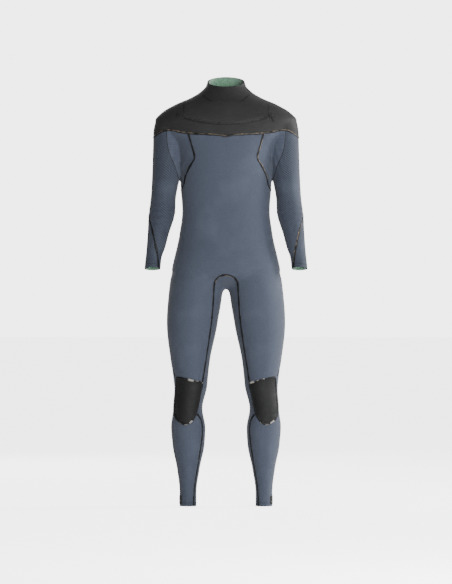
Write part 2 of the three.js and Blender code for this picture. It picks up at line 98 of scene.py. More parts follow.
def seen_or_lighting(tree, seen, lighting):
    """One strength where the camera sees it, and another for the light it throws."""
    path = tree.nodes.new("ShaderNodeLightPath")
    strength = tree.nodes.new("ShaderNodeMapRange")
    tree.links.new(path.outputs["Is Camera Ray"], strength.inputs["Value"])
    strength.inputs["To Min"].default_value = lighting
    strength.inputs["To Max"].default_value = seen
    return strength.outputs["Result"]


def add_stage():
    mesh = bpy.data.meshes.new("floor")
    corners = [(x * FLOOR_SIZE, y * FLOOR_SIZE, 0) for x, y in ((-1, -1), (1, -1), (1, 1), (-1, 1))]
    mesh.from_pydata(corners, [], [(0, 1, 2, 3)])
    floor = add_object("floor", mesh)
    floor.location.z = -FLOOR_DROP
    material = bpy.data.materials.new("floor_paper")
    material.use_nodes = True
    tree = material.node_tree
    shader = tree.nodes["Principled BSDF"]
    shader.inputs["Base Color"].default_value = (0.9, 0.9, 0.9, 1)
    shader.inputs["Roughness"].default_value = 0.9
    shader.inputs["Emission Color"].default_value = (1, 1, 1, 1)
    glow = seen_or_lighting(tree, FLOOR_SEEN, 0.0)
    tree.links.new(glow, shader.inputs["Emission Strength"])
    floor.data.materials.append(material)
    world = bpy.data.worlds.new("studio")
    world.use_nodes = True
    background = world.node_tree.nodes["Background"]
    background.inputs["Color"].default_value = (1, 1, 1, 1)
    sky = seen_or_lighting(world.node_tree, BACKDROP_SEEN, SKY_LIGHT)
    world.node_tree.links.new(sky, background.inputs["Strength"])
    bpy.context.scene.world = world
    for light in LIGHTS:
        add_area_light(*light)


add_camera()
add_stage()

# ---------------------------------------------------------------- driving sizes

NEOPRENE = 4.0
LINING = 1.2
LINING_GAP = 0.3
LINING_DEPTH = 45.0
NECK_LINING_DEPTH = 30.0
CROTCH_HEIGHT = 764.0
RIM_FRONT_HEIGHT = 1462.0
RIM_BACK_HEIGHT = 1500.0
CUFF_FRONT_HEIGHT = 834.0
CUFF_BACK_HEIGHT = 822.0
ARMPIT = (163.5, 1140.0)
YOKE_EDGE_HEIGHT = 1288.0
YOKE_DIP_HEIGHT = 1285.0
YOKE_SIDE_HEIGHT = 1309.0
WAIST_SEAM_HEIGHT = 1000.0
SHOULDER_SEAM_Y = 6.0
SIDE_SEAM_Y = 4.0
SLEEVE_BAND = 60.0
ELBOW_HEIGHT = 1015.0
ELBOW_BAND = 100.0
HIP_CREASE_HEIGHT = 756.0
HIP_CREASE_SLOPE = 0.6
HIP_BAND = 125.0
KNEE_HEIGHT = 368.0
KNEE_BAND = 170.0
ZIP_CHANNEL = 7.0
ZIP_TAPE, ZIP_TAPE_LIFT = 3.0, -0.2      # thickness, and height over the skin
ANKLE_TAB, ANKLE_TAB_LIFT = 1.6, 1.4
KNEE_PAD_LIFT = 0.8
BIB_HALF_WIDTH = 148.0
BIB_TOP_HEIGHT = 1400.0
BIB_FOLD_BAND = 24.0
ZIP_CENTRE = np.array([0.0, 114.0, 1535.6])
ZIP_TILT = math.radians(42.6)
ZIP_AXIS = np.array([0.0, math.sin(ZIP_TILT), -math.cos(ZIP_TILT)])

# Stations: height, centre x, centre y, half width, half depth, from the lowest up.
TORSO_STATIONS = np.array([
    (CROTCH_HEIGHT - 2, 0, 6, 44, 34),
    (CROTCH_HEIGHT + 22, 0, 8, 112, 78),
    (CROTCH_HEIGHT + 42, 0, 10, 160, 104),
    (CROTCH_HEIGHT + 64, 0, 10, 181, 112),
    (CROTCH_HEIGHT + 100, 0, 10, 178, 113),
    (946, 0, 5, 162, 101),
    (1030, 0, 0, 152, 96),
    (1113, 0, -1, 158, 106),
    (1200, 0, 0, 164, 114),
    (1265, 0, 1, 182, 116),
    (1315, 0, 2, 232, 112),
    (1345, 0, 3, 247, 107),
    (1372, 0, 4, 225, 100),
    (1403, 0, 6, 173, 90),
    (1424, 0, 8, 124, 80),
    (1445, 0, 10, 90, 72),
    (1468, 0, 12, 69, 66),
    (1490, 0, 13, 64, 64),
    (1530, 0, 14, 63, 63),
], float)
SLEEVE_STATIONS = np.array([
    (800, 259, -10, 28, 31),
    (862, 253, -7, 28, 32),
    (904, 244, -4, 33, 38),
    (946, 237, -2, 37, 42),
    (1025, 223, 0, 46, 47),
    (1071, 219, 0, 44, 49),
    (1155, 209, 0, 49, 55),
    (1250, 202, 1, 53, 57),
    (1300, 201, 2, 53, 56),
    (1332, 199, 2, 50, 54),
    (1360, 195, 3, 30, 36),
], float)
LEG_STATIONS = np.array([
    (-25, 132.5, 2, 29.5, 41),
    (45, 132.5, 2, 29.5, 41),
    (129, 131.5, 7, 39.5, 49),
    (213, 131, 12, 56, 61),
    (275, 132, 11, 60, 64),
    (339, 133.5, 3, 51.5, 62),
    (422, 123, -1, 58, 66),
    (506, 124, 1, 68, 75),
    (632, 118, 4, 88, 88),
    (715, 109, 6, 93, 95),
    (CROTCH_HEIGHT + 16, 101, 8, 94, 100),
    (CROTCH_HEIGHT + 76, 94, 9, 84, 90),
    (CROTCH_HEIGHT + 126, 84, 7, 70, 76),
    (CROTCH_HEIGHT + 176, 76, 4, 46, 50),
], float)

# Seams in the front view: x from the middle, height, on the left side.
YOKE_EDGE = [
    (0, YOKE_DIP_HEIGHT),
    (34, YOKE_DIP_HEIGHT + 6),
    (131, YOKE_DIP_HEIGHT + 12),
    (207, YOKE_SIDE_HEIGHT),
    (250, YOKE_EDGE_HEIGHT),
    (330, YOKE_EDGE_HEIGHT - 40),
]
PRINCESS_SEAM = [
    (131, YOKE_DIP_HEIGHT + 12), (107, 1211), (112, 1204), (127, 1180), (143, 1143), (147, 1118),
    (175, 1075),
]
ARMHOLE_SEAM = [(207, YOKE_SIDE_HEIGHT), (204, 1260), (196, 1226), (180, 1190), ARMPIT]
FOREARM_SEAM = [(272, ELBOW_HEIGHT), (260, 975), (248, 923), (238, 870), (234, 800)]
INNER_LEG_SEAM = [
    (0, 806), (14, 804), (28, 797), (38, 783), (42, 765), (43, 737), (48, 666), (58, 586), (82, 431),
    (92, 378), (103, 325), (87, 303), (83, 284), (83, 243), (94, 164), (110, 60), (113, -30),
]
KNEE_PAD_SIDE = [(120, 295), (140, 286), (163, 296), (180, 322), (176, 378), (172, 451)]
COLLAR_EDGE = [(0, 1401), (53, 1411), (88, 1438), (140, 1462)]

# ---------------------------------------------------------------- the suit's surface as a field

GRID = 6.0
FIELD_BOX = ((-300, 301), (-135, 141), (-20, 1522))
SETTLING_STEPS = 4         # how often each point is moved onto the surface


def stations_at(table, height):
    """Centre x, centre y, half width and half depth at each height, smooth and with no overshoot."""
    at, rows = table[:, 0], table[:, 1:]
    slopes = np.diff(rows, axis=0) / np.diff(at)[:, None]
    before, after = slopes[:-1], slopes[1:]
    total = np.where(before + after == 0, 1, before + after)
    eased = np.where(before * after <= 0, 0, 2 * before * after / total)
    ends = np.vstack([slopes[:1], eased, slopes[-1:]])
    z = np.clip(height, at[0], at[-1])
    i = np.clip(np.searchsorted(at, z, side="left") - 1, 0, len(at) - 2)
    span = at[i + 1] - at[i]
    t = ((z - at[i]) / span)[:, None]
    rise = rows[i + 1] - rows[i]
    a = ends[i] * span[:, None] - rise
    b = rise - ends[i + 1] * span[:, None]
    return rows[i] + rise * t + t * (1 - t) * (a * (1 - t) + b * t)


def tube(points, table):
    """Signed distance, near enough, to a tube of oval rings: negative inside."""
    centre_x, centre_y, width, depth = stations_at(table, points[:, 2]).T
    u = (points[:, 0] - centre_x) / width
    v = (points[:, 1] - centre_y) / depth
    reach = np.maximum(np.hypot(u, v), 1e-6)
    slope = np.hypot(u / width, v / depth) / reach
    return np.maximum.reduce([
        (reach - 1) / slope, points[:, 2] - table[-1, 0], table[0, 0] - points[:, 2],
    ])


def melt(a, b, radius):
    """The nearer of two surfaces, with a fillet where they meet."""
    share = np.clip(radius - np.abs(a - b), 0, None) / radius
    return np.minimum(a, b) - share * share * radius / 4


MIRROR = np.array([-1.0, 1.0, 1.0])
THIGH_FILLET = 14.0
GROIN_FILLET = 26.0
ARMPIT_FILLET = 7.0


# How high each place's creases stand, and the length that sets their spacing.
ELBOW_RIPPLE, KNEE_RIPPLE = (1.5, 3.6), (1.5, 4.4)
HIP_RIPPLE, ARMPIT_RIPPLE = (0.6, 4.2), (1.2, 5.0)


def ripple(size, share, place):
    height, length = size
    return height * share * np.sin(place / length)


def folds(points):
    """Soft creases in the skin: inside the elbows, behind the knees, and at the hips and armpits."""
    x, y, z = np.abs(points[:, 0]), points[:, 1], points[:, 2]

    def near(value, middle, reach):
        return np.exp(-((value - middle) / reach) ** 2)

    waver = 6 * np.sin(x / 31) + 5 * np.sin(y / 17 + 1)
    elbow = near(z, ELBOW_HEIGHT, 34) * (x > 165) * np.clip((14 - y) / 40, 0, 1)
    knee = near(z, KNEE_HEIGHT, 44) * np.clip((y - 8) / 40, 0, 1) * (x < 215)
    crease = z - HIP_CREASE_HEIGHT - HIP_CREASE_SLOPE * x
    hip = near(crease, 6, 20) * near(x, 70, 46) * np.clip(-y / 50, 0, 1)
    armpit = near(z - 0.5 * (x - ARMPIT[0]), ARMPIT[1] + 52, 46) * near(x, ARMPIT[0], 34)
    return (
        ripple(ELBOW_RIPPLE, elbow, z + waver)
        + ripple(KNEE_RIPPLE, knee, z + waver)
        + ripple(HIP_RIPPLE, hip, crease + waver)
        + ripple(ARMPIT_RIPPLE, armpit, x * 1.4 + z * 0.55 + waver)
    )


def suit_field(points):
    torso = tube(points, TORSO_STATIONS)
    legs = melt(tube(points, LEG_STATIONS), tube(points * MIRROR, LEG_STATIONS), THIGH_FILLET)
    sleeves = np.minimum(tube(points, SLEEVE_STATIONS), tube(points * MIRROR, SLEEVE_STATIONS))
    return melt(melt(torso, legs, GROIN_FILLET), sleeves, ARMPIT_FILLET) - folds(points)


def gradient(points):
    """Which way the field grows fastest, by central differences."""
    step = 0.5
    parts = []
    for axis in range(3):
        shift = np.zeros(3)
        shift[axis] = step
        parts.append((suit_field(points + shift) - suit_field(points - shift)) / (2 * step))
    return np.stack(parts, 1)


def unit(vectors):
    return vectors / np.maximum(np.linalg.norm(vectors, axis=-1, keepdims=True), 1e-9)


def beside(index, axes, steps):
    """The cells that many steps away along the two axes."""
    cell = index.copy()
    cell[:, axes] += steps
    return cell


def surface_net(axes):
    """Quads of the field's zero surface: one point in each grid cell that it crosses."""
    shape = tuple(len(a) for a in axes)
    grid = np.stack(np.meshgrid(*axes, indexing="ij"), -1).reshape(-1, 3)
    values = suit_field(grid).reshape(shape)
    inside = values < 0
    cells = tuple(n - 1 for n in shape)
    total = np.zeros(cells + (3,))
    count = np.zeros(cells)
    edges = []
    for axis in range(3):
        low = tuple(slice(0, -1) if k == axis else slice(None) for k in range(3))
        high = tuple(slice(1, None) if k == axis else slice(None) for k in range(3))
        index = np.argwhere(inside[low] != inside[high])
        others = [k for k in range(3) if k != axis]
        index = index[((index[:, others] > 0) & (index[:, others] < np.array(cells)[others])).all(1)]
        here = tuple(index.T)
        a, b = values[low][here], values[high][here]
        place = index.astype(float)
        place[:, axis] += a / (a - b)
        edges.append((axis, others, index, inside[low][here]))
        for steps in ((0, 0), (0, -1), (-1, 0), (-1, -1)):
            cell = beside(index, others, steps)
            ok = ((cell >= 0) & (cell < cells)).all(1)
            np.add.at(total, tuple(cell[ok].T), place[ok])
            np.add.at(count, tuple(cell[ok].T), 1)
    used = count > 0
    number = np.full(cells, -1)
    number[used] = np.arange(used.sum())
    origin = np.array([a[0] for a in axes])
    points = total[used] / count[used][:, None] * GRID + origin
    quads = []
    for axis, others, index, starts_inside in edges:
        ring = [beside(index, others, steps) for steps in ((-1, -1), (0, -1), (0, 0), (-1, 0))]
        quad = np.stack([number[tuple(cell.T)] for cell in ring], 1)
        turned = starts_inside if axis != 1 else ~starts_inside
        quad[~turned] = quad[~turned][:, ::-1]
        quads.append(quad)
    return points, np.vstack(quads)


def whole_surface():
    points, quads = surface_net([np.arange(low, high, GRID) for low, high in FIELD_BOX])
    for _ in range(SETTLING_STEPS):
        slope = gradient(points)
        away = suit_field(points)[:, None] * slope
        points = points - away / np.maximum((slope * slope).sum(1, keepdims=True), 0.2)
    triangles = np.vstack([quads[:, [0, 1, 2]], quads[:, [0, 2, 3]]])
    corners = points[triangles]
    facing = np.cross(corners[:, 1] - corners[:, 0], corners[:, 2] - corners[:, 0])
    inward = (facing * gradient(corners.mean(1))).sum(1) < 0
    triangles[inward] = triangles[inward][:, ::-1]
    return points, triangles


# ---------------------------------------------------------------- cutting the surface into panels


NEAREST = 0.02             # points closer to a cut than this count as on its positive side


def values_at(points, field):
    """The field at each point, never too near zero."""
    value = field(points)
    return np.where(np.abs(value) < NEAREST, NEAREST, value)


def crossings(points, edges, value):
    """Where the value is zero along each edge."""
    start, end = edges[:, 0], edges[:, 1]
    share = value[start] / (value[start] - value[end])
    return points[start] * (1 - share)[:, None] + points[end] * share[:, None]


def split(surface, field):
    """The surface on the field's negative side and on its positive side, cut along its zero."""
    points, faces = surface
    value = values_at(points, field)
    negative = value < 0
    count = negative[faces].sum(1)
    mixed = faces[(count > 0) & (count < 3)]
    kind = negative[mixed].sum(1) == 1
    lone = np.where(kind[:, None], negative[mixed], ~negative[mixed]).argmax(1)
    rows = np.arange(len(mixed))
    a, b, c = (mixed[rows, (lone + k) % 3] for k in range(3))
    pairs = np.sort(np.vstack([np.stack([a, b], 1), np.stack([a, c], 1)]), 1)
    cut_edges, which = np.unique(pairs, axis=0, return_inverse=True)
    which = which.ravel()
    ab = which[: len(mixed)] + len(points)
    ac = which[len(mixed):] + len(points)
    tip = np.stack([a, ab, ac], 1)
    base = np.vstack([np.stack([ab, b, c], 1), np.stack([ab, c, ac], 1)])
    twice = np.concatenate([kind, kind])
    inner = np.vstack([faces[count == 3], tip[kind], base[~twice]])
    outer = np.vstack([faces[count == 0], tip[~kind], base[twice]])
    pool = np.vstack([points, crossings(points, cut_edges, value)])
    return compact(pool, inner), compact(pool, outer)


def compact(points, faces):
    used, fresh = np.unique(faces, return_inverse=True)
    return points[used], fresh.reshape(-1, 3)


def curve(points, step=5.0):
    """A smooth line through the points, a point every few millimetres."""
    p = np.array([points[0], *points, points[-1]], float)
    out = []
    for i in range(1, len(p) - 2):
        pieces = max(int(np.linalg.norm(p[i + 1] - p[i]) / step), 1)
        for t in np.arange(pieces) / pieces:
            out.append(0.5 * (
                2 * p[i] + (p[i + 1] - p[i - 1]) * t
                + (2 * p[i - 1] - 5 * p[i] + 4 * p[i + 1] - p[i + 2]) * t * t
                + (3 * p[i] - p[i - 1] - 3 * p[i + 1] + p[i + 2]) * t ** 3
            ))
    return out + [p[-1]]


def outline(points, side=1):
    """Signed distance to a closed outline of the front view: negative inside."""
    ring = np.array(points, float)
    start, end = ring, np.roll(ring, -1, 0)
    along = end - start
    size = np.maximum((along * along).sum(1), 1e-12)

    def field(places):
        spot = places[:, [0, 2]] * np.array([side, 1.0])
        nearest = np.full(len(spot), np.inf)
        inside = np.zeros(len(spot), bool)
        for s, e, d, n in zip(start, end, along, size):
            t = np.clip(((spot - s) @ d) / n, 0, 1)
            nearest = np.minimum(nearest, ((spot - s - t[:, None] * d) ** 2).sum(1))
            if s[1] != e[1]:
                crosses = (s[1] > spot[:, 1]) != (e[1] > spot[:, 1])
                at = s[0] + (spot[:, 1] - s[1]) * d[0] / d[1]
                inside ^= crosses & (spot[:, 0] < at)
        return np.sqrt(nearest) * np.where(inside, -1, 1)

    return field


def plane(normal, point):
    """Signed distance to a plane, positive on the side that its normal points to."""
    n = unit(np.array(normal, float))
    return lambda places: (places - np.array(point, float)) @ n


def both_sides(points):
    mirrored = [(-x, z) for x, z in points if x > 0]
    return mirrored[::-1] + list(points)


def open_chains(pairs):
    """Point numbers in order along each line that the pairs make."""
    beside = {}
    for a, b in pairs:
        beside.setdefault(a, []).append(b)
        beside.setdefault(b, []).append(a)
    ends = [n for n, near in beside.items() if len(near) == 1]
    left = set(beside)
    lines = []
    for start in ends + list(beside):
        if start not in left:
            continue
        line = [start]
        left.discard(start)
        while True:
            ahead = [n for n in beside[line[-1]] if n in left]
            if not ahead:
                break
            line.append(ahead[0])
            left.discard(ahead[0])
        if len(line) > 2:
            closed = start in beside[line[-1]]
            lines.append(line + [start] if closed else line)
    return lines


def cut_lines(surface, field):
    """The lines where the field is zero on the surface, each as points in order."""
    points, faces = surface
    value = values_at(points, field)
    negative = value < 0
    ends = np.stack([faces, np.roll(faces, -1, 1)], 2)
    crossed = negative[ends[:, :, 0]] != negative[ends[:, :, 1]]
    rows = crossed.sum(1) == 2
    pairs = np.sort(ends[rows][crossed[rows]], 1)
    edges, which = np.unique(pairs, axis=0, return_inverse=True)
    places = crossings(points, edges, value)
    return [places[line] for line in open_chains(which.reshape(-1, 2).tolist())]


SEAMS = []


def runs(line, keep):
    """The stretches of a line whose points are kept."""
    edges = np.flatnonzero(np.diff(np.concatenate([[False], keep, [False]]).astype(int)))
    return [line[a:b] for a, b in zip(edges[::2], edges[1::2]) if b - a > 2]


def seam(kind, zone, surface, field, where=None):
    """Keeps the field's zero line on the surface as a seam of that kind."""
    for line in cut_lines(surface, field):
        keep = np.ones(len(line), bool) if where is None else where(line)
        SEAMS.extend((kind, zone, run) for run in runs(line, keep))


def cut(surface, field, kind, zone):
    """Both sides of a cut, with a seam where they meet."""
    seam(kind, zone, surface, field)
    return split(surface, field)


# ---------------------------------------------------------------- zones: what each place moves with

BAND_SLOPE = (YOKE_EDGE_HEIGHT - ARMPIT[1]) / (250 - ARMPIT[0])
SLEEVE_DEPTH = SLEEVE_BAND / math.hypot(BAND_SLOPE, 1)
HIP_DEPTH = HIP_BAND / math.hypot(HIP_CREASE_SLOPE, 1)


def at_side(vector, side):
    return np.array([vector[0] * side, vector[1], vector[2]], float)


def bend(parent, child, normal, point, depth, side=1):
    """A zone that bends from parent to child over a depth, measured along the normal."""
    start = at_side(point, side)
    return parent, child, start, start + unit(at_side(normal, side)) * depth


ZONES = {
    "torso": "torso",
    "bib": bend("torso", "bib", (0, 0, -1), (0, 0, BIB_TOP_HEIGHT), BIB_FOLD_BAND),
}
for name, side in SIDES:
    arm, forearm = f"{name}_upper_arm", f"{name}_forearm"
    thigh, lower = f"{name}_thigh", f"{name}_lower_leg"
    elbow_top = (0, 0, ELBOW_HEIGHT + ELBOW_BAND / 2)
    knee_top = (0, 0, KNEE_HEIGHT + KNEE_BAND / 2)
    armpit, groin = (ARMPIT[0], 0, ARMPIT[1]), (0, 0, HIP_CREASE_HEIGHT)
    ZONES[f"{name}_shoulder"] = bend("torso", arm, (BAND_SLOPE, 0, -1), armpit, SLEEVE_DEPTH, side)
    ZONES[f"{name}_upper_arm"] = arm
    ZONES[f"{name}_elbow"] = bend(arm, forearm, (0, 0, -1), elbow_top, ELBOW_BAND)
    ZONES[f"{name}_forearm"] = forearm
    ZONES[f"{name}_hip"] = bend(
        "torso", thigh, (HIP_CREASE_SLOPE, 0, -1), groin, HIP_DEPTH, side)
    ZONES[f"{name}_thigh"] = thigh
    ZONES[f"{name}_knee"] = bend(thigh, lower, (0, 0, -1), knee_top, KNEE_BAND)
    ZONES[f"{name}_shin"] = lower


def attach(piece, zone):
    """The piece rides on its zone's body; a piece in a zone between two bodies only has its transform
    baked.
    """
    if isinstance(ZONES[zone], str):
        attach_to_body(piece, ZONES[zone])
        return
    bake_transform(piece)


# ---------------------------------------------------------------- fields that cut the panels

CLEAR = 400.0              # past either side of the suit
ABOVE = 1600.0             # over its top
PAD_TOP_AT, PAD_FOOT_AT = 8, 10  # the inner leg seam's points that start and end the knee pad
PAD_TOP, PAD_FOOT = INNER_LEG_SEAM[PAD_TOP_AT][1], INNER_LEG_SEAM[PAD_FOOT_AT][1]
INNER_LEG = curve(INNER_LEG_SEAM[:PAD_FOOT_AT + 1]) + curve(INNER_LEG_SEAM[PAD_FOOT_AT:])[1:]
PAD_INNER = [p for p in INNER_LEG if PAD_FOOT <= p[1] <= PAD_TOP]
PAD_OUTLINE = PAD_INNER + curve(KNEE_PAD_SIDE)
SLEEVE_OUTLINE = (
    curve(ARMHOLE_SEAM) + [(164, 1000), (204, 790), (CLEAR, 790), (CLEAR, YOKE_EDGE_HEIGHT + 40),
                           (207, YOKE_EDGE_HEIGHT + 40)]
)
YOKE_OUTLINE = both_sides(curve(YOKE_EDGE)) + [(CLEAR, ABOVE), (-CLEAR, ABOVE)]
COLLAR_OUTLINE = both_sides(curve(COLLAR_EDGE)) + [(140, ABOVE), (-140, ABOVE)]
SIDE_PANEL_OUTLINE = curve(PRINCESS_SEAM) + [(CLEAR, 1075), (CLEAR, 1400), (131, 1400)]
FOREARM_OUTLINE = curve(FOREARM_SEAM) + [(CLEAR, 800), (CLEAR, ELBOW_HEIGHT)]
INNER_LEG_OUTLINE = INNER_LEG + [(-90, -30), (-90, 806)]

RIM_FRONT_Y, RIM_SPAN = -54.0, 130.0
CUFF_FRONT_Y, CUFF_SPAN = -41.0, 63.0
RIM_SLOPE = (RIM_BACK_HEIGHT - RIM_FRONT_HEIGHT) / RIM_SPAN
CUFF_SLOPE = (CUFF_FRONT_HEIGHT - CUFF_BACK_HEIGHT) / CUFF_SPAN
BESIDE_HIP = 214.0


def over_rim(drop=0.0):
    """Positive above the neck rim, or above a line that far below it."""
    return plane((0, -RIM_SLOPE, 1), (0, RIM_FRONT_Y, RIM_FRONT_HEIGHT - drop))


def past_cuff(rise=0.0):
    """Negative where a sleeve goes on past its cuff, or past a line that far above it."""
    over = plane((0, CUFF_SLOPE, 1), (0, CUFF_FRONT_Y, CUFF_FRONT_HEIGHT + rise))
    return lambda places: np.maximum(over(places), BESIDE_HIP - np.abs(places[:, 0]))


def over(height):
    return plane((0, 0, 1), (0, 0, height))


def over_crease(drop):
    """Positive above the two hip creases, let down by some height."""
    steep = math.hypot(HIP_CREASE_SLOPE, 1)
    return lambda places: (
        places[:, 2] - HIP_CREASE_HEIGHT + drop - HIP_CREASE_SLOPE * np.abs(places[:, 0])
    ) / steep


def on_front(field):
    """The inside of a field, kept to the front of the suit."""
    return lambda places: np.maximum(field(places), places[:, 1])


def bib_field(across):
    """Negative on the bib, out to a plane beside the zip's own."""
    beyond = plane(ZIP_AXIS, ZIP_CENTRE + ZIP_AXIS * across)
    return lambda places: np.maximum.reduce([
        beyond(places),
        np.abs(places[:, 0]) - BIB_HALF_WIDTH,
        places[:, 2] - BIB_TOP_HEIGHT,
        places[:, 1],
    ])


TAB_EDGE_X, TAB_EDGE_Y, TAB_BOTTOM, TAB_TOP = 153.5, 15.0, 7.0, 37.0


def ankle_tab(places):
    """Negative on the rubber tab outside each ankle."""
    x, y, height = np.abs(places[:, 0]), places[:, 1], places[:, 2]
    return np.maximum.reduce(
        [TAB_EDGE_X - x, y - TAB_EDGE_Y, height - TAB_TOP, TAB_BOTTOM - height])


SIDE_SEAM_FROM_X = 125.0
SEAM_TURN_TOP, SEAM_TURN_DEPTH, SEAM_TURN_FORWARD = 520.0, 70.0, 34.0


def outer_thigh_seam(places):
    """The thigh's outer seam: down the side, then forward to the knee pad's corner."""
    lead = np.clip((SEAM_TURN_TOP - places[:, 2]) / SEAM_TURN_DEPTH, 0, 1)
    return places[:, 1] - SIDE_SEAM_Y + SEAM_TURN_FORWARD * lead * lead * (3 - 2 * lead)


# ---------------------------------------------------------------- panels

PANELS = []


def panel(name, surface, zone, look, nodes=(), thickness=NEOPRENE, lift=0.0):
    PANELS.append((name, surface, zone, look, nodes, thickness, lift))


def cut_sleeve(skin, name, side):
    sleeve, skin = cut(skin, outline(SLEEVE_OUTLINE, side), "armhole", "torso")
    band_end = at_side((ARMPIT[0], 0, ARMPIT[1] - SLEEVE_BAND), side)
    below, band = split(sleeve, plane(at_side((-BAND_SLOPE, 0, 1), side), band_end))
    below, upper = split(below, over(ELBOW_HEIGHT + ELBOW_BAND / 2))
    forearm, elbow = split(below, over(ELBOW_HEIGHT - ELBOW_BAND / 2))
    field = outline(FOREARM_OUTLINE, side)
    seam("forearm", f"{name}_elbow", elbow, field, lambda line: line[:, 2] < ELBOW_HEIGHT - 4)
    outside, inside = cut(forearm, field, "forearm", f"{name}_forearm")
    for part, surface, zone, node in (
        ("sleeve_top", band, "shoulder", "sleeve_top"),
        ("upper_sleeve", upper, "upper_arm", "upper_sleeve"),
        ("elbow", elbow, "elbow", "elbow_panel"),
        ("forearm_outer", outside, "forearm", "forearm_outer_panel"),
        ("forearm_inner", inside, "forearm", "forearm_inner_panel"),
    ):
        panel(f"{name}_{part}_skin", surface, f"{name}_{zone}", "sleeve", [f"{name}_{node}"])
    return skin


def cut_leg(legs, name, side):
    leg, _ = split(legs, lambda p: -side * p[:, 0])
    below, hip = split(leg, over_crease(HIP_BAND))
    below, thigh = split(below, over(KNEE_HEIGHT + KNEE_BAND / 2))
    shin, knee = split(below, over(KNEE_HEIGHT - KNEE_BAND / 2))
    field = outline(INNER_LEG_OUTLINE, side)
    pad, knee_rest = cut(knee, on_front(outline(PAD_OUTLINE, side)), "pad", f"{name}_knee")
    seam("inner_leg", f"{name}_knee", knee, field,
         lambda line: (line[:, 1] > 0) | (line[:, 2] < PAD_FOOT - 2) | (line[:, 2] > PAD_TOP - 2))
    hip_in, hip_out = cut(hip, field, "inner_leg", f"{name}_hip")
    thigh_in, thigh_out = cut(thigh, field, "inner_leg", f"{name}_thigh")
    knee_in, knee_out = split(knee_rest, field)
    calf_in, shin_out = cut(shin, field, "inner_leg", f"{name}_shin")
    for zone, surface in (("hip", hip_out), ("thigh", thigh_out)):
        seam("side", f"{name}_{zone}", surface, outer_thigh_seam,
             lambda line: np.abs(line[:, 0]) > SIDE_SEAM_FROM_X)
    tab, _ = split(shin_out, ankle_tab)
    for part, surface, zone, look, node, *build in (
        ("hip_skin", hip_out, "hip", "body", "hip_panel"),
        ("upper_gusset_skin", hip_in, "hip", "body", "upper_gusset"),
        ("thigh_skin", thigh_out, "thigh", "body", "thigh_panel"),
        ("inner_thigh_skin", thigh_in, "thigh", "body", "inner_thigh_panel"),
        ("knee_pad_skin", pad, "knee", "pad", "knee_pad", NEOPRENE, KNEE_PAD_LIFT),
        ("knee_back_skin", knee_out, "knee", "body", "knee_back_panel"),
        ("knee_inner_skin", knee_in, "knee", "body", "knee_back_panel"),
        ("shin_skin", shin_out, "shin", "body", "shin_panel"),
        ("ankle_tab_patch", tab, "shin", "rubber", "ankle_tab", ANKLE_TAB, ANKLE_TAB_LIFT),
        ("calf_skin", calf_in, "shin", "body", "calf_panel"),
    ):
        panel(f"{name}_{part}", surface, f"{name}_{zone}", look, [f"{name}_{node}"], *build)


def cut_trunk(trunk):
    inner = [outline(INNER_LEG_OUTLINE, side) for _, side in SIDES]
    gusset, trunk = cut(
        trunk, lambda p: np.where(p[:, 0] > 0, inner[0](p), inner[1](p)), "inner_leg", "torso")
    panel("crotch_gusset_skin", gusset, "torso", "body", ["crotch_gusset"])
    for name, side in SIDES:
        flank, trunk = cut(trunk, outline(SIDE_PANEL_OUTLINE, side), "princess", "torso")
        panel(f"{name}_side_panel_skin", flank, "torso", "body", [f"{name}_side_panel"])
    back, front = cut(trunk, lambda p: SIDE_SEAM_Y - p[:, 1], "side", "torso")
    seat, back = cut(back, over(WAIST_SEAM_HEIGHT), "side", "torso")
    for node, surface in (("front_panel", front), ("back_panel", back), ("seat_panel", seat)):
        panel(f"{node}_skin", surface, "torso", "body", [node])


BIB_SEAM_INSET = 0.6
COLLAR_SEAM_OUTSET = 0.8
COLLAR_SEAM_START = 46.0   # from the middle


def along_zip(line):
    """Which points of the zip channel's border lie along the zip, and not up the bib's sides."""
    x, y, height = np.abs(line[:, 0]), line[:, 1], line[:, 2]
    return (x < BIB_HALF_WIDTH - 2) & (height < BIB_TOP_HEIGHT - 6) & (y < 0)


def cut_yoke(yoke):
    collar, yoke = split(yoke, outline(COLLAR_OUTLINE))
    field, inner_field = bib_field(ZIP_CHANNEL / 2), bib_field(-ZIP_CHANNEL / 2)
    seam("zip_edge", "torso", yoke, field, along_zip)
    zone, yoke = split(yoke, field)
    bib, channel = split(zone, inner_field)
    upper, lower = split(channel, plane(ZIP_AXIS, ZIP_CENTRE))
    seam("bib", "torso", bib, lambda p: np.abs(p[:, 0]) - BIB_HALF_WIDTH + BIB_SEAM_INSET)
    seam("collar", "torso", yoke, lambda p: outline(COLLAR_OUTLINE)(p) - COLLAR_SEAM_OUTSET,
         lambda line: (line[:, 1] < 0) & (np.abs(line[:, 0]) > COLLAR_SEAM_START))
    front, back = split(yoke, plane((0, 1, 0), (0, SHOULDER_SEAM_Y, 0)))
    for node, surface in (("collar", collar), ("chest_yoke", front), ("back_yoke", back)):
        panel(f"{node}_skin", surface, "torso", "black", [node])
    panel("neck_bib_skin", bib, "bib", "black", ["neck_bib", "bib_fold"])
    for row, surface, zone in (("upper", upper, "bib"), ("lower", lower, "torso")):
        panel(f"zip_{row}_tape_band", surface, zone, "tape", [f"zip_{row}_tape"],
              ZIP_TAPE, ZIP_TAPE_LIFT)


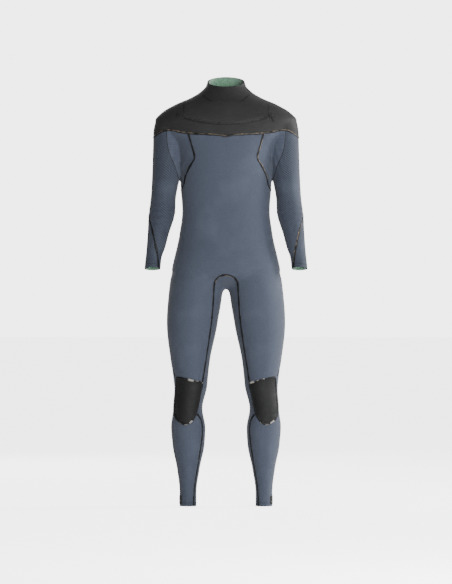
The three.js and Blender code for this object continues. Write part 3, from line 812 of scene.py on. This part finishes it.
def cut_linings(skin):
    """Plush bands inside the neck, the sleeves and the legs."""
    inside = dict(thickness=LINING, lift=-NEOPRENE - LINING_GAP)
    _, neck = split(skin, over_rim(NECK_LINING_DEPTH))
    panel("collar_lining_band", neck, "torso", "plush", ["collar_lining"], **inside)
    ankles, _ = split(skin, over(LINING_DEPTH))
    cuffs, _ = split(skin, past_cuff(LINING_DEPTH))
    for name, side in SIDES:
        cuff, _ = split(cuffs, lambda p: -side * p[:, 0])
        ankle, _ = split(ankles, lambda p: -side * p[:, 0])
        panel(f"{name}_cuff_lining_band", cuff, f"{name}_forearm", "plush",
              [f"{name}_cuff_lining"], **inside)
        panel(f"{name}_ankle_lining_band", ankle, f"{name}_shin", "plush",
              [f"{name}_ankle_lining"], **inside)


skin = whole_surface()
_, skin = split(skin, lambda p: -over_rim()(p))
_, skin = split(skin, past_cuff())
_, skin = split(skin, over(0.0))
cut_linings(skin)
yoke, below_yoke = cut(skin, outline(YOKE_OUTLINE), "yoke", "torso")
for name, side in SIDES:
    below_yoke = cut_sleeve(below_yoke, name, side)
legs, trunk = split(below_yoke, over_crease(0.0))
for name, side in SIDES:
    cut_leg(legs, name, side)
cut_trunk(trunk)
cut_yoke(yoke)

# ---------------------------------------------------------------- meshes

LIMBS = {
    **dict.fromkeys(("shoulder", "upper_arm", "elbow", "forearm"), SLEEVE_STATIONS),
    **dict.fromkeys(("hip", "thigh", "knee", "shin"), LEG_STATIONS),
}


def cloth_uv(points, faces, zone):
    """Metric coordinates on the cloth, in metres: round the limb or the trunk, and up it."""
    name, _, part = zone.partition("_")
    table = LIMBS.get(part, TORSO_STATIONS)
    side = dict(SIDES).get(name, 1)
    centre_x, centre_y, width, depth = stations_at(table, points[:, 2]).T
    angle = np.arctan2(points[:, 0] - side * centre_x, centre_y - points[:, 1])
    girth = np.median((width + depth) / 2)
    turn = angle[faces]
    behind = (turn.max(1) - turn.min(1) > math.pi)[:, None] & (turn < 0)
    turn = np.where(behind, turn + 2 * math.pi, turn)
    return np.stack([turn * girth, points[faces][:, :, 2]], -1) * METRES


def make_object(name, points, faces, uv, looks, kinds=None, normals=None):
    """An object from points in millimetres; faces, their corners' cloth coordinates and looks."""
    mesh = bpy.data.meshes.new(name)
    mesh.from_pydata((points * METRES).tolist(), [], [list(f) for f in faces])
    mesh.polygons.foreach_set("use_smooth", np.ones(len(faces), bool))
    for look in looks:
        mesh.materials.append(look)
    if kinds is not None:
        mesh.polygons.foreach_set("material_index", kinds)
    layer = mesh.uv_layers.new(name="cloth")
    layer.data.foreach_set("uv", np.concatenate([np.ravel(u) for u in uv]))
    if normals is not None:
        mesh.normals_split_custom_set(normals.tolist())
    return add_object(name, mesh)


def border(faces):
    """Directed edges that only one face has."""
    edges = np.vstack([faces[:, [0, 1]], faces[:, [1, 2]], faces[:, [2, 0]]])
    key = edges[:, 0] * (edges.max() + 1) + edges[:, 1]
    twin = edges[:, 1] * (edges.max() + 1) + edges[:, 0]
    return edges[~np.isin(key, twin)]


def make_shell(name, surface, zone, looks, thickness, lift):
    """A panel as a closed sheet: its face, its lining and the cut edge between them."""
    points, faces = surface
    slope = unit(gradient(points))
    outer = points + slope * lift
    inner = outer - slope * thickness
    count = len(points)
    rim = border(faces)
    quads = np.stack([rim[:, 1], rim[:, 0], rim[:, 0] + count, rim[:, 1] + count], 1)
    back = faces[:, ::-1]
    both = np.vstack([outer, inner])
    wall = unit(np.cross(both[quads[:, 1]] - both[quads[:, 0]], both[quads[:, 3]] - both[quads[:, 0]]))
    normals = np.vstack([
        slope[faces].reshape(-1, 3), -slope[back].reshape(-1, 3), np.repeat(wall, 4, axis=0),
    ])
    along = np.stack([rim[:, 1], rim[:, 0], rim[:, 0], rim[:, 1]], 1)
    uv = [cloth_uv(points, corners, zone) for corners in (faces, back, along)]
    kinds = np.repeat([0, 1, 2], [len(faces), len(faces), len(quads)])
    every = faces.tolist() + (back + count).tolist() + quads.tolist()
    return make_object(name, both, every, uv, looks, kinds, normals)


def lengths_along(line):
    """How far along the line each of its points is."""
    return np.concatenate([[0], np.cumsum(np.linalg.norm(np.diff(line, axis=0), axis=1))])


def smooth_line(line, step):
    """The line with even steps and no kinks, and whether it closes on itself."""
    closed = np.linalg.norm(line[0] - line[-1]) < 2 * step and len(line) > 20
    far = lengths_along(line)
    count = max(int(far[-1] / step), 3)
    at = np.linspace(0, far[-1], count + 1)
    line = np.stack([np.interp(at, far, line[:, k]) for k in range(3)], 1)
    if closed:
        line = line[:-1]
    for _ in range(3):
        soft = (np.roll(line, 1, 0) + 2 * line + np.roll(line, -1, 0)) / 4
        if not closed:
            soft[0], soft[-1] = line[0], line[-1]
        line = soft
    for _ in range(2):
        slope = gradient(line)
        line = line - suit_field(line)[:, None] * slope
    return line, closed


BEAD_ACROSS = np.array([-1, -0.8, -0.4, 0.4, 0.8, 1, 0])
BEAD_HEIGHT = np.array([0, 0.65, 1, 1, 0.65, 0, 0])
BEAD_ROOT, BEAD_EDGE_SINK = 0.9, 0.25    # how far its root and its edges go into the skin


def bead(line, closed, half, height, lift=0.0):
    """A low dome along a line on the skin: points, faces and cloth coordinates."""
    out = unit(gradient(line))
    ahead = np.roll(line, -1, 0) - np.roll(line, 1, 0)
    if not closed:
        ahead[0], ahead[-1] = line[1] - line[0], line[-1] - line[-2]
    across = unit(np.cross(out, ahead))
    half = np.broadcast_to(half, len(line))
    rise = BEAD_HEIGHT * height + lift
    rise[-1] = -BEAD_ROOT
    rise[[0, 5]] -= BEAD_EDGE_SINK
    points = (line[:, None] + across[:, None] * (BEAD_ACROSS * half[:, None])[:, :, None]
              + out[:, None] * rise[None, :, None])
    ring, count = len(BEAD_ACROSS), len(line)
    faces, uv = [], []
    far = lengths_along(line)
    far = np.append(far, far[-1] + 1)
    for i in range(count if closed else count - 1):
        j = (i + 1) % count
        for k in range(ring):
            m = (k + 1) % ring
            faces.append((i * ring + k, i * ring + m, j * ring + m, j * ring + k))
            a, b = BEAD_ACROSS[k] * half[i], BEAD_ACROSS[m] * half[i]
            uv.append([(far[i], a), (far[i], b), (far[i + 1], b), (far[i + 1], a)])
    if not closed:
        last = (count - 1) * ring
        faces.append(tuple(range(ring))[::-1])
        faces.append(tuple(last + k for k in range(ring)))
        uv.append([(0, 0)] * ring)
        uv.append([(far[-2], 0)] * ring)
    return points.reshape(-1, 3), faces, [np.array(u) * METRES for u in uv]


def merge(parts):
    """Several point, face and coordinate sets as one."""
    points, faces, uv, base = [], [], [], 0
    for p, f, u in parts:
        points.append(p)
        faces.extend([tuple(n + base for n in face) for face in f])
        uv.extend(u)
        base += len(p)
    return np.vstack(points), faces, uv


# ---------------------------------------------------------------- materials

def shader_of(name, color, roughness, **sockets):
    """A new material, its node tree and its shader, with the values that are the same all over."""
    material = bpy.data.materials.new(name)
    material.use_nodes = True
    tree = material.node_tree
    shader = tree.nodes["Principled BSDF"]
    shader.inputs["Base Color"].default_value = (*color, 1)
    shader.inputs["Roughness"].default_value = roughness
    for socket, value in sockets.items():
        shader.inputs[socket.replace("_", " ")].default_value = value
    return material, tree, shader


def add_node(tree, kind, inputs=None, **settings):
    node = tree.nodes.new(kind)
    for key, value in settings.items():
        setattr(node, key, value)
    for key, value in (inputs or {}).items():
        if isinstance(value, bpy.types.NodeSocket):
            tree.links.new(value, node.inputs[key])
        else:
            node.inputs[key].default_value = value
    return node


def cloth_place(tree, turn=0.0, stretch=(1, 1, 1)):
    """The cloth's own coordinates, turned and stretched."""
    source = add_node(tree, "ShaderNodeUVMap", uv_map="cloth")
    return add_node(tree, "ShaderNodeMapping", {
        "Vector": source.outputs["UV"],
        "Rotation": (0, 0, math.radians(turn)),
        "Scale": stretch,
    }).outputs["Vector"]


def noise(tree, place, scale, detail):
    return add_node(tree, "ShaderNodeTexNoise", {
        "Vector": place, "Scale": scale, "Detail": detail}).outputs["Fac"]


def cloth_noise(tree, scale, detail):
    return noise(tree, cloth_place(tree), scale, detail)


def ribs(tree, place, pitch):
    """Parallel ribs across the cloth, by their spacing in metres."""
    return add_node(tree, "ShaderNodeTexWave", {
        "Vector": place, "Scale": math.pi / 10 / pitch, "Distortion": 0.4,
        "Detail": 1.0}, bands_direction="Y").outputs["Fac"]


def math_of(tree, operation, a, b):
    return add_node(tree, "ShaderNodeMath", {0: a, 1: b}, operation=operation).outputs[0]


def add_share(tree, value, other, share):
    """The value plus a share of the other."""
    return math_of(tree, "ADD", value, math_of(tree, "MULTIPLY", other, share))


def mix(tree, share, under, over):
    """One colour over another by a share, where a colour is a socket or three numbers."""
    under, over = ((*color, 1) if isinstance(color, tuple) else color for color in (under, over))
    return add_node(tree, "ShaderNodeMix", {
        0: share, 6: under, 7: over}, data_type="RGBA").outputs[2]


def ranged(tree, value, low, high, to_low=0.0, to_high=1.0):
    return add_node(tree, "ShaderNodeMapRange", {
        "Value": value, "From Min": low, "From Max": high,
        "To Min": to_low, "To Max": to_high}).outputs["Result"]


def paint(tree, shader, color, roughness=None):
    tree.links.new(color, shader.inputs["Base Color"])
    if roughness is not None:
        tree.links.new(roughness, shader.inputs["Roughness"])


def bump(tree, shader, height, depth, strength):
    node = add_node(tree, "ShaderNodeBump", {
        "Height": height, "Distance": depth, "Strength": strength})
    tree.links.new(node.outputs["Normal"], shader.inputs["Normal"])


def knit(name, dark, light, rib_turn, rib_pitch, rib_share, roughness, sheen, faded_and_lit):
    """Stretch jersey: ribs, stitches, and random lighter patches that are partly fading and partly
    painted patchy light and shade.
    """
    material, tree, shader = shader_of(
        name, light, roughness, Sheen_Weight=sheen, Sheen_Roughness=0.45, Specular_IOR_Level=0.25)
    place = cloth_place(tree, rib_turn)
    rows = ribs(tree, place, rib_pitch)
    stitches = noise(tree, cloth_place(tree, rib_turn, (0.35, 1, 1)), 900, 2)
    heather = cloth_noise(tree, 210, 3)
    patches = cloth_noise(tree, 7, 4)
    yarn = add_share(
        tree, math_of(tree, "MULTIPLY", rows, rib_share), stitches, 1 - rib_share)
    mixed = add_share(tree, math_of(tree, "MULTIPLY", yarn, 0.6), heather, 0.4)
    color = mix(tree, ranged(tree, mixed, 0.25, 0.75), dark, light)
    # Random lighter patches: partly fading, partly painted patchy light and shade.
    wear_and_light_patches = ranged(tree, patches, 0.5, 0.78, 0.0, 0.35)
    color = mix(tree, wear_and_light_patches, color, faded_and_lit)
    paint(tree, shader, color,
          ranged(tree, patches, 0.3, 0.7, roughness - 0.06, roughness + 0.08))
    bump(tree, shader, yarn, 0.0005, 0.55)
    return material


def knee_pad_look():
    """Hard-wearing rubberised cloth: a fine embossed grid, a dull shine and scuffs."""
    material, tree, shader = shader_of(
        "knee_pad_emboss", (0.018, 0.019, 0.02), 0.5, Specular_IOR_Level=0.28)
    place = cloth_place(tree, 45)
    across = ribs(tree, place, 0.0036)
    along = ribs(tree, cloth_place(tree, -45), 0.0036)
    grid = math_of(tree, "MULTIPLY", across, along)
    grain = cloth_noise(tree, 420, 3)
    scuffs = noise(tree, cloth_place(tree, 20, (1, 3.5, 1)), 26, 5)
    color = mix(tree, grid, (0.007, 0.0073, 0.0077), (0.017, 0.0175, 0.018))
    color = mix(tree, ranged(tree, scuffs, 0.55, 0.8, 0.0, 0.35), color, (0.045, 0.046, 0.048))
    paint(tree, shader, color, ranged(tree, scuffs, 0.35, 0.7, 0.42, 0.64))
    bump(tree, shader, add_share(tree, grid, grain, 0.35), 0.0008, 0.7)
    return material


def plush_look():
    """Green thermal lining: short tufts in a honeycomb, darker between them."""
    material, tree, shader = shader_of(
        "green_plush", (0.1, 0.2, 0.13), 0.95, Sheen_Weight=0.6, Sheen_Roughness=0.6)
    tufts = add_node(tree, "ShaderNodeTexVoronoi", {
        "Vector": cloth_place(tree), "Scale": 330.0}, feature="SMOOTH_F1").outputs["Distance"]
    shade = cloth_noise(tree, 38, 4)
    color = mix(tree, ranged(tree, tufts, 0.1, 0.75), (0.23, 0.47, 0.31), (0.08, 0.19, 0.115))
    paint(tree, shader, mix(tree, ranged(tree, shade, 0.45, 0.75, 0, 0.4), color, (0.3, 0.5, 0.35)))
    bump(tree, shader, ranged(tree, tufts, 0.0, 0.8, 1.0, 0.0), 0.0014, 0.8)
    return material


def seam_look(name, highlight_tint, highlight_amount, highlight_from=0.0002):
    """Liquid seam tape over blind stitching: soft black, with a painted highlight in a thread colour
    along one side, broken into stitch-like dashes.

    The painted highlight starts at that distance across the tape from its middle, in metres.
    """
    material, tree, shader = shader_of(name, (0.004, 0.004, 0.0045), 0.5, Coat_Weight=0.12,
                                       Coat_Roughness=0.4, Specular_IOR_Level=0.25)
    source = add_node(tree, "ShaderNodeUVMap", uv_map="cloth").outputs["UV"]
    split_uv = add_node(tree, "ShaderNodeSeparateXYZ", {0: source})
    highlight_edge = ranged(tree, split_uv.outputs["Y"], highlight_from, highlight_from + 0.0022)
    stitches = ribs(tree, add_node(tree, "ShaderNodeMapping", {
        "Vector": source, "Rotation": (0, 0, math.radians(90))}).outputs["Vector"], 0.0045)
    highlight_runs = ranged(tree, noise(tree, source, 34, 3), 0.62 - highlight_amount, 0.72 - highlight_amount)
    # Painted highlight: a thread-coloured strip along one side of the tape, in runs and stitch-like
    # dashes.
    painted_highlight = math_of(tree, "MULTIPLY", math_of(tree, "MULTIPLY", highlight_edge, highlight_runs),
                    ranged(tree, stitches, 0.25, 0.6, 0.25, 1.0))
    lumps = noise(tree, source, 160, 3)
    color = mix(tree, lumps, (0.003, 0.003, 0.0035), (0.009, 0.009, 0.0095))
    color = mix(tree, painted_highlight, color, highlight_tint)
    paint(tree, shader, color, ranged(tree, lumps, 0.3, 0.7, 0.42, 0.62))
    bump(tree, shader, add_share(tree, lumps, stitches, 0.5), 0.0006, 0.6)
    return material


def weave_look(name, dark, light, roughness):
    """Woven tape: warp and weft across each other."""
    material, tree, shader = shader_of(name, dark, roughness)
    warp = ribs(tree, cloth_place(tree), 0.0012)
    weft = ribs(tree, cloth_place(tree, 90), 0.0016)
    cloth = math_of(tree, "MULTIPLY", warp, weft)
    paint(tree, shader, mix(tree, cloth, dark, light))
    bump(tree, shader, cloth, 0.0004, 0.7)
    return material


def moulded_look(name, dark, light, roughness):
    """Moulded plastic or rubber: a fine grain, and edges that handling has polished."""
    material, tree, shader = shader_of(name, dark, roughness)
    place = add_node(tree, "ShaderNodeTexCoord").outputs["Object"]
    grain = noise(tree, place, 900, 2)
    handled = noise(tree, place, 70, 3)
    paint(tree, shader, mix(tree, grain, dark, light),
          ranged(tree, handled, 0.3, 0.7, roughness - 0.1, roughness + 0.1))
    bump(tree, shader, grain, 0.00015, 0.5)
    return material


def foam_look():
    """The cut edge of the neoprene: closed black foam."""
    material, tree, shader = shader_of("neoprene_edge", (0.02, 0.02, 0.021), 0.8)
    cells = cloth_noise(tree, 1500, 2)
    paint(tree, shader, mix(tree, cells, (0.012, 0.012, 0.013), (0.035, 0.035, 0.037)))
    bump(tree, shader, cells, 0.0003, 0.6)
    return material


SLATE_DARK, SLATE_LIGHT = (0.045, 0.055, 0.079), (0.084, 0.099, 0.138)
# The faded colours, slate and black, are what the random patches lighten towards: partly fading,
# partly painted patchy light and shade.
SLATE_FADED_AND_LIT = (0.122, 0.142, 0.188)
# The sleeves' slate is the body's at about 0.73 of its brightness: painted shade for the shade on the
# arms.
SLEEVE_SHADED_DARK, SLEEVE_SHADED_LIGHT = (0.028, 0.035, 0.051), (0.061, 0.072, 0.102)
BLACK_DARK, BLACK_LIGHT = (0.016, 0.016, 0.0165), (0.031, 0.031, 0.032)
BLACK_FADED_AND_LIT = (0.05, 0.05, 0.052)
PLUSH = plush_look()
FOAM = foam_look()
LOOKS = {
    "body": (knit("slate_jersey", SLATE_DARK, SLATE_LIGHT, 3, 0.0031, 0.3, 0.8, 0.2,
                  SLATE_FADED_AND_LIT), "slate_jersey"),
    "sleeve": (knit("slate_ribbed_jersey_painted_shade", SLEEVE_SHADED_DARK, SLEEVE_SHADED_LIGHT, 38, 0.0066, 0.6, 0.8, 0.2,
                    SLATE_FADED_AND_LIT), "slate_jersey"),
    "black": (knit("black_jersey", BLACK_DARK, BLACK_LIGHT, 0, 0.0022, 0.45, 0.66, 0.08,
                   BLACK_FADED_AND_LIT), "black_smoothskin"),
    "pad": (knee_pad_look(), "knee_pad_rubber"),
    "tape": (weave_look("zip_tape_weave", (0.018, 0.018, 0.019), (0.036, 0.036, 0.037), 0.66),
             "black_trim"),
    "plush": (PLUSH, "green_lining"),
    # Seam tapes with a painted highlight along one side: faint on the plain tape, tan on the tan tape,
    # light grey dashes on the knee pads' tape.
    "seam": (seam_look("seam_tape", (0.05, 0.046, 0.04), 0.0), "black_trim"),
    "tan_seam": (seam_look("tan_thread_seam_tape", (0.34, 0.27, 0.19), 0.2), "black_trim"),
    "pad_seam": (seam_look("pad_seam_tape", (0.5, 0.48, 0.43), 0.12, -0.006), "black_trim"),
    "teeth": (moulded_look("zip_teeth_nylon", (0.012, 0.012, 0.013), (0.04, 0.04, 0.042), 0.35),
              "black_plastic"),
    "plastic": (moulded_look("moulded_plastic", (0.012, 0.012, 0.013), (0.03, 0.03, 0.032), 0.4),
                "black_plastic"),
    "rubber": (moulded_look("bonded_rubber", (0.008, 0.008, 0.009), (0.02, 0.02, 0.021), 0.6),
               "black_trim"),
}

# ---------------------------------------------------------------- pieces

for name, surface, zone, look, nodes, thickness, lift in PANELS:
    material, slot = LOOKS[look]
    # A raised arm turns the front of its shoulder band inside out, so both its faces are jersey.
    lining = material if zone.endswith("shoulder") else PLUSH
    piece = make_shell(name, surface, zone, (material, lining, FOAM), thickness, lift)
    attach(piece, zone)
    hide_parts(*nodes)

# Half width and height.
SEAM_SIZES = {
    "yoke": (3.2, 1.2), "armhole": (1.1, 0.35), "forearm": (3.6, 1.1), "pad": (3.8, 1.4),
    "inner_leg": (3.9, 1.2), "side": (2.6, 0.8), "princess": (3.8, 1.1), "bib": (1.5, 0.4),
    "collar": (1.8, 0.4), "zip_edge": (1.5, 0.5),
}
SEAM_STEP = 5.0
SHORTEST_SEAM = 20.0
# Where the knee pads' light grey painted highlight and the inner leg's tan painted highlight start.
PAD_HIGHLIGHT_TOP, PAD_HIGHLIGHT_FOOT, PAD_HIGHLIGHT_SIDE = 424.0, 297.0, 136.0
GUSSET_HIGHLIGHT_FROM = 770.0


def blobs(line, half, seed):
    """The tape's width along a line: poured by hand, so it swells and thins."""
    far = lengths_along(line)
    return half * (1 + 0.16 * np.sin(far / 9.0 + seed) + 0.1 * np.sin(far / 3.7 + 2 * seed))


def highlight_tape_of(kind, line):
    """Which tape a stretch of seam has, by how strong its painted highlight is."""
    x, height = line[:, 0].mean(), line[:, 2]
    if kind == "pad":
        # The knee pads' tops and feet get the light grey painted highlight.
        middle = np.median(height)
        return "pad_seam" if middle > PAD_HIGHLIGHT_TOP or middle < PAD_HIGHLIGHT_FOOT else "seam"
    # The tan painted highlight goes on the yoke, on the princess and forearm seams on the side the key
    # light faces, and on the inner leg seams near the crotch.
    lit_side_highlight = (
        kind == "yoke"
        or (kind in ("princess", "forearm") and x > 0)
        or (kind == "inner_leg" and height.min() > GUSSET_HIGHLIGHT_FROM)
    )
    return "tan_seam" if lit_side_highlight else "seam"


def pad_runs(line):
    """A knee pad's border as its top's inner half, its foot and the rest."""
    # The top's inner half and the foot get the light grey painted highlight.
    top = (line[:, 2] > PAD_HIGHLIGHT_TOP) & (np.abs(line[:, 0]) < PAD_HIGHLIGHT_SIDE)
    where = np.where(top, 1, 0)
    where = np.where(line[:, 2] < PAD_HIGHLIGHT_FOOT, 2, where)
    turns = np.flatnonzero(np.diff(where)) + 1
    line = np.roll(line, -turns[0], axis=0)
    where = np.roll(where, -turns[0])
    stops = [0, *(np.flatnonzero(np.diff(where)) + 1), len(line)]
    return [np.vstack([line, line[:1]])[a: b + 1] for a, b in zip(stops, stops[1:])]


def add_trim(name, parts, look, zone):
    """One object from several parts, on the cloth of a zone."""
    material, slot = LOOKS[look]
    piece = make_object(name, *merge(parts), (material,))
    attach(piece, zone)


def add_seams():
    groups = {}
    for kind, zone, line in SEAMS:
        if lengths_along(line)[-1] < SHORTEST_SEAM:
            continue
        line, closed = smooth_line(line, SEAM_STEP)
        runs_of = [(run, False) for run in pad_runs(line)] if kind == "pad" else [(line, closed)]
        for run, ring in runs_of:
            groups.setdefault((kind, zone, highlight_tape_of(kind, run)), []).append((run, ring))
    for (kind, zone, look), lines in groups.items():
        half, height = SEAM_SIZES[kind]
        lift = KNEE_PAD_LIFT if kind == "pad" else 0.0
        parts = [bead(line, closed, blobs(line, half, number), height, lift)
                 for number, (line, closed) in enumerate(lines) if len(line) > 1]
        add_trim(f"{kind}_{look}_{zone}", parts, look, zone)


HEM_STITCH = 12.0          # from a cuff's or an ankle's edge
STITCH_LENGTH, STITCH_PITCH, STITCH_HALF, STITCH_HEIGHT = 4.2, 6.5, 0.65, 0.5


def add_hem_stitches(name, surface, field, zone):
    """A row of stitches round a sleeve or a leg, a little above its edge."""
    parts = []
    for line in cut_lines(surface, field):
        line, closed = smooth_line(line, STITCH_PITCH)
        step = unit(np.roll(line, -1, 0) - line) * STITCH_LENGTH
        for start, run in list(zip(line, step))[: len(line) if closed else len(line) - 1]:
            stretch = np.array([start, start + run / 3, start + run * 2 / 3, start + run])
            parts.append(bead(stretch, False, STITCH_HALF, STITCH_HEIGHT))
    add_trim(name, parts, "seam", zone)


ZIP_SWEEP, ZIP_SWEEP_STEP = 34.0, 0.25     # degrees each way from the middle
ZIP_NEAR, ZIP_FAR = 240.0, 360.0           # from the zip's centre, inside and outside the skin


def zip_line():
    """Points where the zip's plane meets the skin, from the wearer's right to the left."""
    down = np.array([0, -math.cos(ZIP_TILT), -math.sin(ZIP_TILT)])
    angles = np.radians(np.arange(-ZIP_SWEEP, ZIP_SWEEP + 0.01, ZIP_SWEEP_STEP))
    ways = np.outer(np.cos(angles), down) + np.outer(np.sin(angles), [1, 0, 0])
    low, high = np.full(len(angles), ZIP_NEAR), np.full(len(angles), ZIP_FAR)
    for _ in range(24):
        middle = (low + high) / 2
        inside = suit_field(ZIP_CENTRE + ways * middle[:, None]) < 0
        low, high = np.where(inside, middle, low), np.where(inside, high, middle)
    line = ZIP_CENTRE + ways * low[:, None]
    return line[np.abs(line[:, 0]) < BIB_HALF_WIDTH - 1]


TOOTH_PITCH, TOOTH_LENGTH, TOOTH_REACH, TOOTH_ROOT, TOOTH_RISE = 2.6, 1.5, 0.5, 2.9, 0.5
TOOTH_SINK, TOOTH_BEVEL_DEPTH, TOOTH_BEVEL = 1.8, 0.35, 0.3


def add_teeth():
    line, _ = smooth_line(zip_line(), TOOTH_PITCH / 2)
    out = unit(gradient(line))
    ahead = unit(np.gradient(line, axis=0))
    across = unit(np.cross(out, ahead))
    for row, (body, node) in enumerate((("torso", "zip_lower_teeth"), ("bib", "zip_upper_teeth"))):
        toward = 1 if (across[len(line) // 2] @ ZIP_AXIS > 0) == (row == 0) else -1
        parts = []
        for i in range(row, len(line), 2):
            corners = []
            for rise, trim in ((-TOOTH_SINK, 0.0), (TOOTH_RISE - TOOTH_BEVEL_DEPTH, 0.0),
                               (TOOTH_RISE, TOOTH_BEVEL)):
                for u, v in ((-1, -1), (1, -1), (1, 1), (-1, 1)):
                    reach = TOOTH_ROOT - trim if v > 0 else -TOOTH_REACH + trim
                    corners.append(line[i] + ahead[i] * u * (TOOTH_LENGTH / 2 - trim)
                                   + across[i] * toward * reach + out[i] * rise)
            faces = [(3, 2, 1, 0), (8, 9, 10, 11)]
            for level in (0, 4):
                faces += [(level + k, level + (k + 1) % 4, level + 4 + (k + 1) % 4, level + 4 + k)
                          for k in range(4)]
            if toward < 0:
                faces = [face[::-1] for face in faces]
            parts.append((np.array(corners), faces, [np.zeros((4, 2))] * len(faces)))
        look, slot = LOOKS["teeth"]
        piece = make_object(f"{node}_row", *merge(parts), (look,))
        piece.data.polygons.foreach_set("use_smooth", np.zeros(len(piece.data.polygons), bool))
        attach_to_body(piece, body)
        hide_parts(node)


add_seams()
for name, side in SIDES:
    by_name = {p[0]: p[1] for p in PANELS}
    for hem, part, skin, field, zone in (
        ("cuff", "outer", "forearm_outer_skin", past_cuff(HEM_STITCH), "forearm"),
        ("cuff", "inner", "forearm_inner_skin", past_cuff(HEM_STITCH), "forearm"),
        ("ankle", "shin", "shin_skin", over(HEM_STITCH), "shin"),
        ("ankle", "calf", "calf_skin", over(HEM_STITCH), "shin"),
    ):
        add_hem_stitches(f"{name}_{hem}_stitches_{part}", by_name[f"{name}_{skin}"], field,
                         f"{name}_{zone}")
add_teeth()

CAD_LOOKS = {
    "zip_slider": "plastic", "zip_pull": "plastic", "zip_stop": "plastic",
    "zip_garage": "rubber",
}
for node, look in CAD_LOOKS.items():
    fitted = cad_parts[node]
    fitted.data.materials.clear()
    fitted.data.materials.append(LOOKS[look][0])
